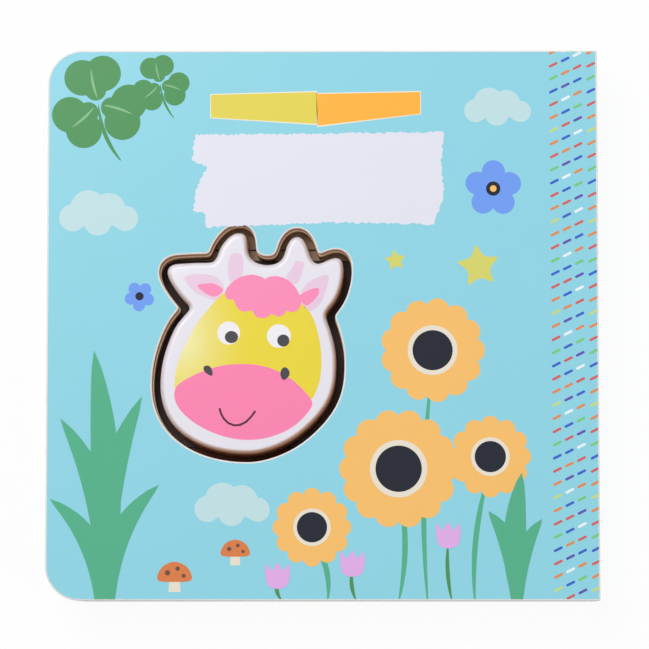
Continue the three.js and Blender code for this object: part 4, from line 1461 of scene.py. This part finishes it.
@dataclass
class HeadButton:
    """Soft vinyl head: a crowned shell with its face printed on it."""

    shape: HeadShape
    base: float = 16.8
    top: float = 28.275
    rim: float = 1.9
    crown: float = 1.2
    reach: float = 52.14
    wall: float = 1.25
    skin: float = 0.06
    film: float = 0.012
    sunk: float = 0.05
    flare: float = 1.1
    flared_side: Point = (0.45, -0.89)
    face_middle: Point = (249.2, 343.0)

    def level(self, x: float, y: float) -> float:
        """Return the crown's level at a place about the head's middle."""
        share = math.hypot(x, y) / self.reach
        return self.top - self.skin - self.crown * share * share

    def shell(self) -> None:
        """Build the vinyl shell: round rim, crowned top, open below."""
        loop = self.shape.head()
        low = self.base - self.rim - 1.0
        plate = board_mesh("rim", [loop], low, self.top - self.skin, self.rim, facets=7)
        bm = bmesh.new()
        bm.from_mesh(plate)
        bpy.data.meshes.remove(plate)
        bmesh.ops.bisect_plane(
            bm, geom=bm.verts[:] + bm.edges[:] + bm.faces[:], plane_co=(0, 0, self.base * MM),
            plane_no=(0, 0, 1), clear_inner=True,
        )
        flat = [f for f in bm.faces if f.normal.z > 0.999]
        bmesh.ops.dissolve_faces(bm, faces=flat, use_verts=False)
        cut_grid(bm, 16, top_only=True)
        self.widen(bm)
        span = (self.top - self.skin - self.base) * MM
        for vert in bm.verts:
            x, y = vert.co.x / MM, vert.co.y / MM
            share = (vert.co.z - self.base * MM) / span
            drop = self.crown * (math.hypot(x, y) / self.reach) ** 2
            vert.co.z -= drop * MM * share * share
        for vert in bm.verts:
            vert.co.x += self.shape.x * MM
            vert.co.y += self.shape.y * MM
        mesh = from_bmesh("vinyl_face", bm, Paint.VINYL)
        for polygon in mesh.polygons:
            polygon.use_smooth = True
        face = new_piece("vinyl_face", mesh, "head_button", ("head_skin",))
        thick = face.modifiers.new("wall", "SOLIDIFY")
        thick.thickness = self.wall * MM
        thick.offset = -1

    def widen(self, bm: bmesh.types.BMesh) -> None:
        """Flare the shell's side below its rim where it faces the tail and the spine.

        Args:
            bm: The shell, before it is crowned.
        """
        bm.normal_update()
        rim_foot = self.top - self.skin - self.rim
        for vert in bm.verts:
            depth = (rim_foot - vert.co.z / MM) / (rim_foot - self.base)
            outward = Vector((vert.normal.x, vert.normal.y))
            towards = outward.dot(Vector(self.flared_side))
            if depth > 0.01 and towards > 0:
                shift = outward.normalized() * self.flare * towards * depth * MM
                vert.co.x += shift.x
                vert.co.y += shift.y

    def ink(self, name: str, paint: Paint, loops: list[Loop], layer: int) -> None:
        """Lay a printed shape on the crown.

        Args:
            name: Name of the piece.
            paint: Its ink.
            loops: Outlines about the head's middle.
            layer: Which ink it is, from 1.
        """
        bm = bmesh.new()
        for loop in loops:
            prism(bm, loop, 0, 1)
        tall = max(max(abs(x), abs(y)) for loop in loops for x, y in loop)
        cut_grid(bm, int(tall / GRID) + 1)
        for vert in bm.verts:
            x, y = vert.co.x / MM, vert.co.y / MM
            raised = self.film + self.film * layer if vert.co.z > 0.5 * MM else -self.sunk
            vert.co = ((x + self.shape.x) * MM, (y + self.shape.y) * MM, (self.level(x, y) + raised) * MM)
        mesh = from_bmesh(name, bm, paint)
        mesh.set_sharp_from_angle(angle=math.radians(40))
        new_piece(name, mesh, "head_button")

    def face(self) -> None:
        """Print the face: yellow field, muzzle, fringe, ears, horns, eyes, nostrils and smile."""

        def at(x: float, y: float) -> Point:
            """Turn a place in the photograph into millimetres about the head's middle."""
            return ((x - self.face_middle[0]) * PHOTO_MM, (self.face_middle[1] - y) * PHOTO_MM)

        def curve(points: list[Point], steps: int = 6, easing: int = 1) -> Loop:
            """Return a smooth loop through places in the photograph."""
            return smooth_loop([at(*p) for p in points], steps, easing)

        field_points = [
            (222, 294), (210, 307), (198, 322), (187, 341), (179, 360), (175, 378), (176, 392), (190, 405),
            (215, 415), (250, 420), (285, 415), (307, 404), (318, 385), (321, 360), (318, 335), (311, 315),
            (300, 302), (262, 285), (240, 287),
        ]
        self.ink("yellow_field", Paint.FACE_YELLOW, [curve(field_points)], 1)
        muzzle = [
            (174.5, 395), (177, 386), (190, 377), (206, 370), (222, 365.5), (240, 364), (258, 365),
            (275, 370), (291, 379), (304, 391), (312, 403), (305, 415), (290, 428), (270, 436.5),
            (250, 439.5), (230, 437.5), (208, 430), (190, 419), (178, 406),
        ]
        self.ink("muzzle", Paint.FACE_PINK, [curve(muzzle)], 2)
        fringe = [
            (225, 292), (230, 284), (240, 277), (252, 274.5), (262, 277), (265, 279), (268, 277),
            (276, 276), (286, 279), (294, 286), (300, 297), (301, 303), (297, 310), (291, 312), (286, 311),
            (284, 314), (278, 316.5), (271, 314), (267, 317), (261, 318), (255, 316), (251.5, 310.5),
            (246, 311.5), (240, 310.5), (235.5, 305), (233, 299.5), (227, 299),
        ]
        self.ink("fringe", Paint.HAIR_PINK, [curve(fringe, 5, 0)], 3)
        left_ear = [(184, 277), (200, 274), (216, 277), (224, 288), (216, 300), (206, 297), (194, 291)]
        right_ear = [
            (300, 294), (306, 284), (318, 277), (328, 275), (326, 288), (320, 303), (309, 311), (302, 304),
        ]
        horn_left = [(230.6, 254.4), (241.4, 254.2), (240.4, 278.5), (229.6, 281)]
        horn_right = [(295.6, 260.6), (303.4, 262.4), (302.2, 270), (296, 284), (286, 277), (291.8, 268.5)]
        pale = [curve(left_ear), curve(right_ear), curve(horn_left, 8, 2), curve(horn_right, 6, 1)]
        self.ink("ear_outlines", Paint.PALE_PINK, pale, 1)
        inner_left = [(197, 285), (204, 283.5), (214, 283.5), (223, 290), (215, 296.5), (205, 293)]
        inner_right = [
            (298, 297), (306, 291), (318, 288), (318, 294), (313, 300.5), (306, 305.5), (300, 300),
        ]
        self.ink("inner_ears", Paint.HAIR_PINK, [curve(inner_left), curve(inner_right)], 2)
        whites = [ellipse(*at(228.5, 333), 4.1, 4.2), ellipse(*at(278.5, 336), 4.3, 4.3)]
        self.ink("eye_whites", Paint.EYE_WHITE, whites, 2)
        pupils = [ellipse(*at(231.3, 337), 2.4, 2.2), ellipse(*at(283, 340.5), 2.2, 2.2)]
        self.ink("pupils", Paint.EYE_DARK, pupils, 4)
        nostril_left = [
            (204.5, 366), (209, 365.8), (212.2, 370), (212, 375.5), (206.5, 373.2), (203.6, 369.5),
        ]
        nostril_right = [(284.5, 367), (288.5, 370), (289, 375), (283.3, 380), (280.2, 375), (281.2, 369.5)]
        self.ink("nostrils", Paint.EYE_DARK, [curve(nostril_left), curve(nostril_right)], 4)
        arc = [
            (219.6, 408), (221, 413), (224, 418.5), (228.5, 422.8), (234, 425), (240, 424.6), (246, 421.6),
            (251.5, 416), (255.3, 410.6),
        ]
        self.ink("smile", Paint.SMILE, [stroke([at(*p) for p in arc], 0.78)], 4)

    def build(self) -> None:
        """Build the shell and its face."""
        self.shell()
        self.face()


@dataclass
class SoundModule:
    """Case, battery bay, loudspeaker, switch and circuit under the well."""

    nodes: dict[str, bpy.types.Object]

    def dress_nodes(self) -> None:
        """Give every carried-over CAD node its material."""
        paints = {
            "head_foam": Paint.FOAM, "head_plate": Paint.WHITE_PLASTIC, "case_back": Paint.GREY_PLASTIC,
            # The case front's moulding carries painted shade and painted light on the well's floor.
            "case_front": Paint.DARK_PLASTIC, "circuit_board": Paint.RESIN_GREEN, "chip_blob": Paint.EPOXY,
            "capacitor": Paint.ALUMINIUM, "speaker_gasket": Paint.FOAM, "speaker_frame": Paint.STEEL,
            "speaker_cone": Paint.CONE, "speaker_magnet": Paint.FERRITE, "battery_door": Paint.GREY_PLASTIC,
            "door_screw": Paint.STEEL, "switch_housing": Paint.STEEL, "switch_slider": Paint.BLACK_PLASTIC,
            "battery_lead_red": Paint.LEAD_RED, "speaker_lead_red": Paint.LEAD_RED,
            "battery_lead_black": Paint.LEAD_BLACK, "speaker_lead_black": Paint.LEAD_BLACK,
        }
        for name, node in self.nodes.items():
            paint = paints.get(name)
            if name.startswith("resistor"):
                paint = Paint.BLACK_PLASTIC
            elif name.startswith(("button_cell", "case_screw")):
                paint = Paint.STEEL
            elif name.startswith("contact"):
                paint = Paint.BRASS
            if paint:
                for slot in node.material_slots:
                    slot.material = paint.material()

    def dome(self) -> None:
        """Build the rubber dome with rounded corners; the real dome flattens as the head is pressed."""
        paints = [Paint.SILICONE]
        dome = eased_piece(self.nodes, "return_dome", "rubber_dome", 0.12, paints, sharp=40)
        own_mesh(dome)

    def door(self) -> None:
        """Build the battery door with eased edges and grip ribs."""
        paints = [Paint.GREY_PLASTIC]
        eased_piece(self.nodes, "door_panel", "battery_door", 0.2, paints, sharp=40)

    def build(self) -> None:
        """Dress and build the module."""
        self.dress_nodes()
        self.dome()
        self.door()


@dataclass
class Studio:
    """Camera, lamps, floor and world."""

    distance: float = 1.3
    aim: Place = (0.0007, -0.0003, 0.0286)
    lean: tuple[float, float] = (0.003, -0.0885)
    sensor: float = 36.0
    field_width: float = 0.235
    ambient: float = 0.46
    floor_white: float = 0.92
    lamps: tuple[tuple[str, Place, float, float], ...] = (
        ("key_lamp", (-0.46, 0.56, 1.25), 0.7, 10.4),
        ("fill_lamp", (0.9, -0.3, 1.1), 0.9, 3.7),
    )

    def camera(self) -> None:
        """Set the camera above the cover, leaning a little to the tail."""
        data = bpy.data.cameras.new("camera")
        data.sensor_width = self.sensor
        data.lens = self.sensor * self.distance / self.field_width
        data.clip_start = 0.01
        camera = bpy.data.objects.new("camera", data)
        bpy.context.scene.collection.objects.link(camera)
        along = Vector((self.lean[0], self.lean[1], 1.0)).normalized()
        camera.location = Vector(self.aim) + along * self.distance
        sideways = Vector((0, 1, 0)).cross(along).normalized()
        upward = along.cross(sideways)
        camera.rotation_euler = Matrix((sideways, upward, along)).transposed().to_euler()
        bpy.context.scene.camera = camera

    def lamp(self, name: str, place: Place, size: float, power: float) -> None:
        """Hang one square soft lamp over the book.

        Args:
            name: Name of the lamp.
            place: Where it hangs, in metres.
            size: Width in metres.
            power: Power in watts.
        """
        data = bpy.data.lights.new(name, "AREA")
        data.size = size
        data.energy = power
        lamp = bpy.data.objects.new(name, data)
        bpy.context.scene.collection.objects.link(lamp)
        lamp.location = place
        lamp.rotation_euler = Vector(place).to_track_quat("Z", "Y").to_euler()

    def world(self) -> None:
        """Make a plain grey light that the camera and reflections see as white."""
        world = bpy.data.worlds.new("studio")
        bpy.context.scene.world = world
        world.use_nodes = True
        tree = world.node_tree
        tree.nodes.clear()
        path = add_node(tree, "ShaderNodeLightPath")
        seen = add_node(
            tree, "ShaderNodeMath", {"operation": "MAXIMUM"},
            _0=path.outputs["Is Camera Ray"], _1=path.outputs["Is Glossy Ray"],
        )
        seen = add_node(
            tree, "ShaderNodeMath", {"operation": "MAXIMUM"},
            _0=seen.outputs["Value"], _1=path.outputs["Is Transmission Ray"],
        )
        strength = add_node(
            tree, "ShaderNodeMapRange", _0=seen.outputs["Value"], To_Min=self.ambient, To_Max=1.0
        )
        background = add_node(
            tree, "ShaderNodeBackground", Color=(1.0, 1.0, 1.0, 1.0), Strength=strength.outputs["Result"]
        )
        output = add_node(tree, "ShaderNodeOutputWorld")
        tree.links.new(background.outputs["Background"], output.inputs["Surface"])

    def floor(self) -> None:
        """Lay the pale floor, which keeps a faint shadow of the book."""
        material = bpy.data.materials.new("floor")
        material.use_nodes = True
        tree = material.node_tree
        tree.nodes.clear()
        path = add_node(tree, "ShaderNodeLightPath")
        diffuse = add_node(tree, "ShaderNodeBsdfDiffuse", Color=(0.9, 0.9, 0.9, 1.0))
        white = add_node(tree, "ShaderNodeEmission", Color=(1.0, 1.0, 1.0, 1.0), Strength=1.0)
        share = add_node(
            tree, "ShaderNodeMapRange", _0=path.outputs["Is Camera Ray"], To_Min=0.0, To_Max=self.floor_white
        )
        mix = add_node(
            tree, "ShaderNodeMixShader", Fac=share.outputs["Result"],
            _1=diffuse.outputs["BSDF"], _2=white.outputs["Emission"],
        )
        output = add_node(tree, "ShaderNodeOutputMaterial")
        tree.links.new(mix.outputs["Shader"], output.inputs["Surface"])
        bm = bmesh.new()
        bmesh.ops.create_grid(bm, x_segments=2, y_segments=2, size=3.0)
        mesh = from_bmesh("floor", bm)
        mesh.materials.append(material)
        floor = bpy.data.objects.new("floor", mesh)
        bpy.context.scene.collection.objects.link(floor)

    def build(self) -> None:
        """Set up the whole studio."""
        bpy.context.scene.view_settings.view_transform = "Standard"
        self.camera()
        self.world()
        self.floor()
        for name, place, size, power in self.lamps:
            self.lamp(name, place, size, power)


def main() -> None:
    """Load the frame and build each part."""
    logging.basicConfig(level=logging.INFO, format="%(name)s: %(message)s")
    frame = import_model()
    levels = BookLevels()
    shape = HeadShape()
    Studio().build()
    Boards(levels, shape, frame["nodes"]).build()
    CoverPrint(levels).build()
    OpeningSpread(levels).build()
    HeadButton(shape).build()
    SoundModule(frame["nodes"]).build()


if __name__ == "__main__":
    main()
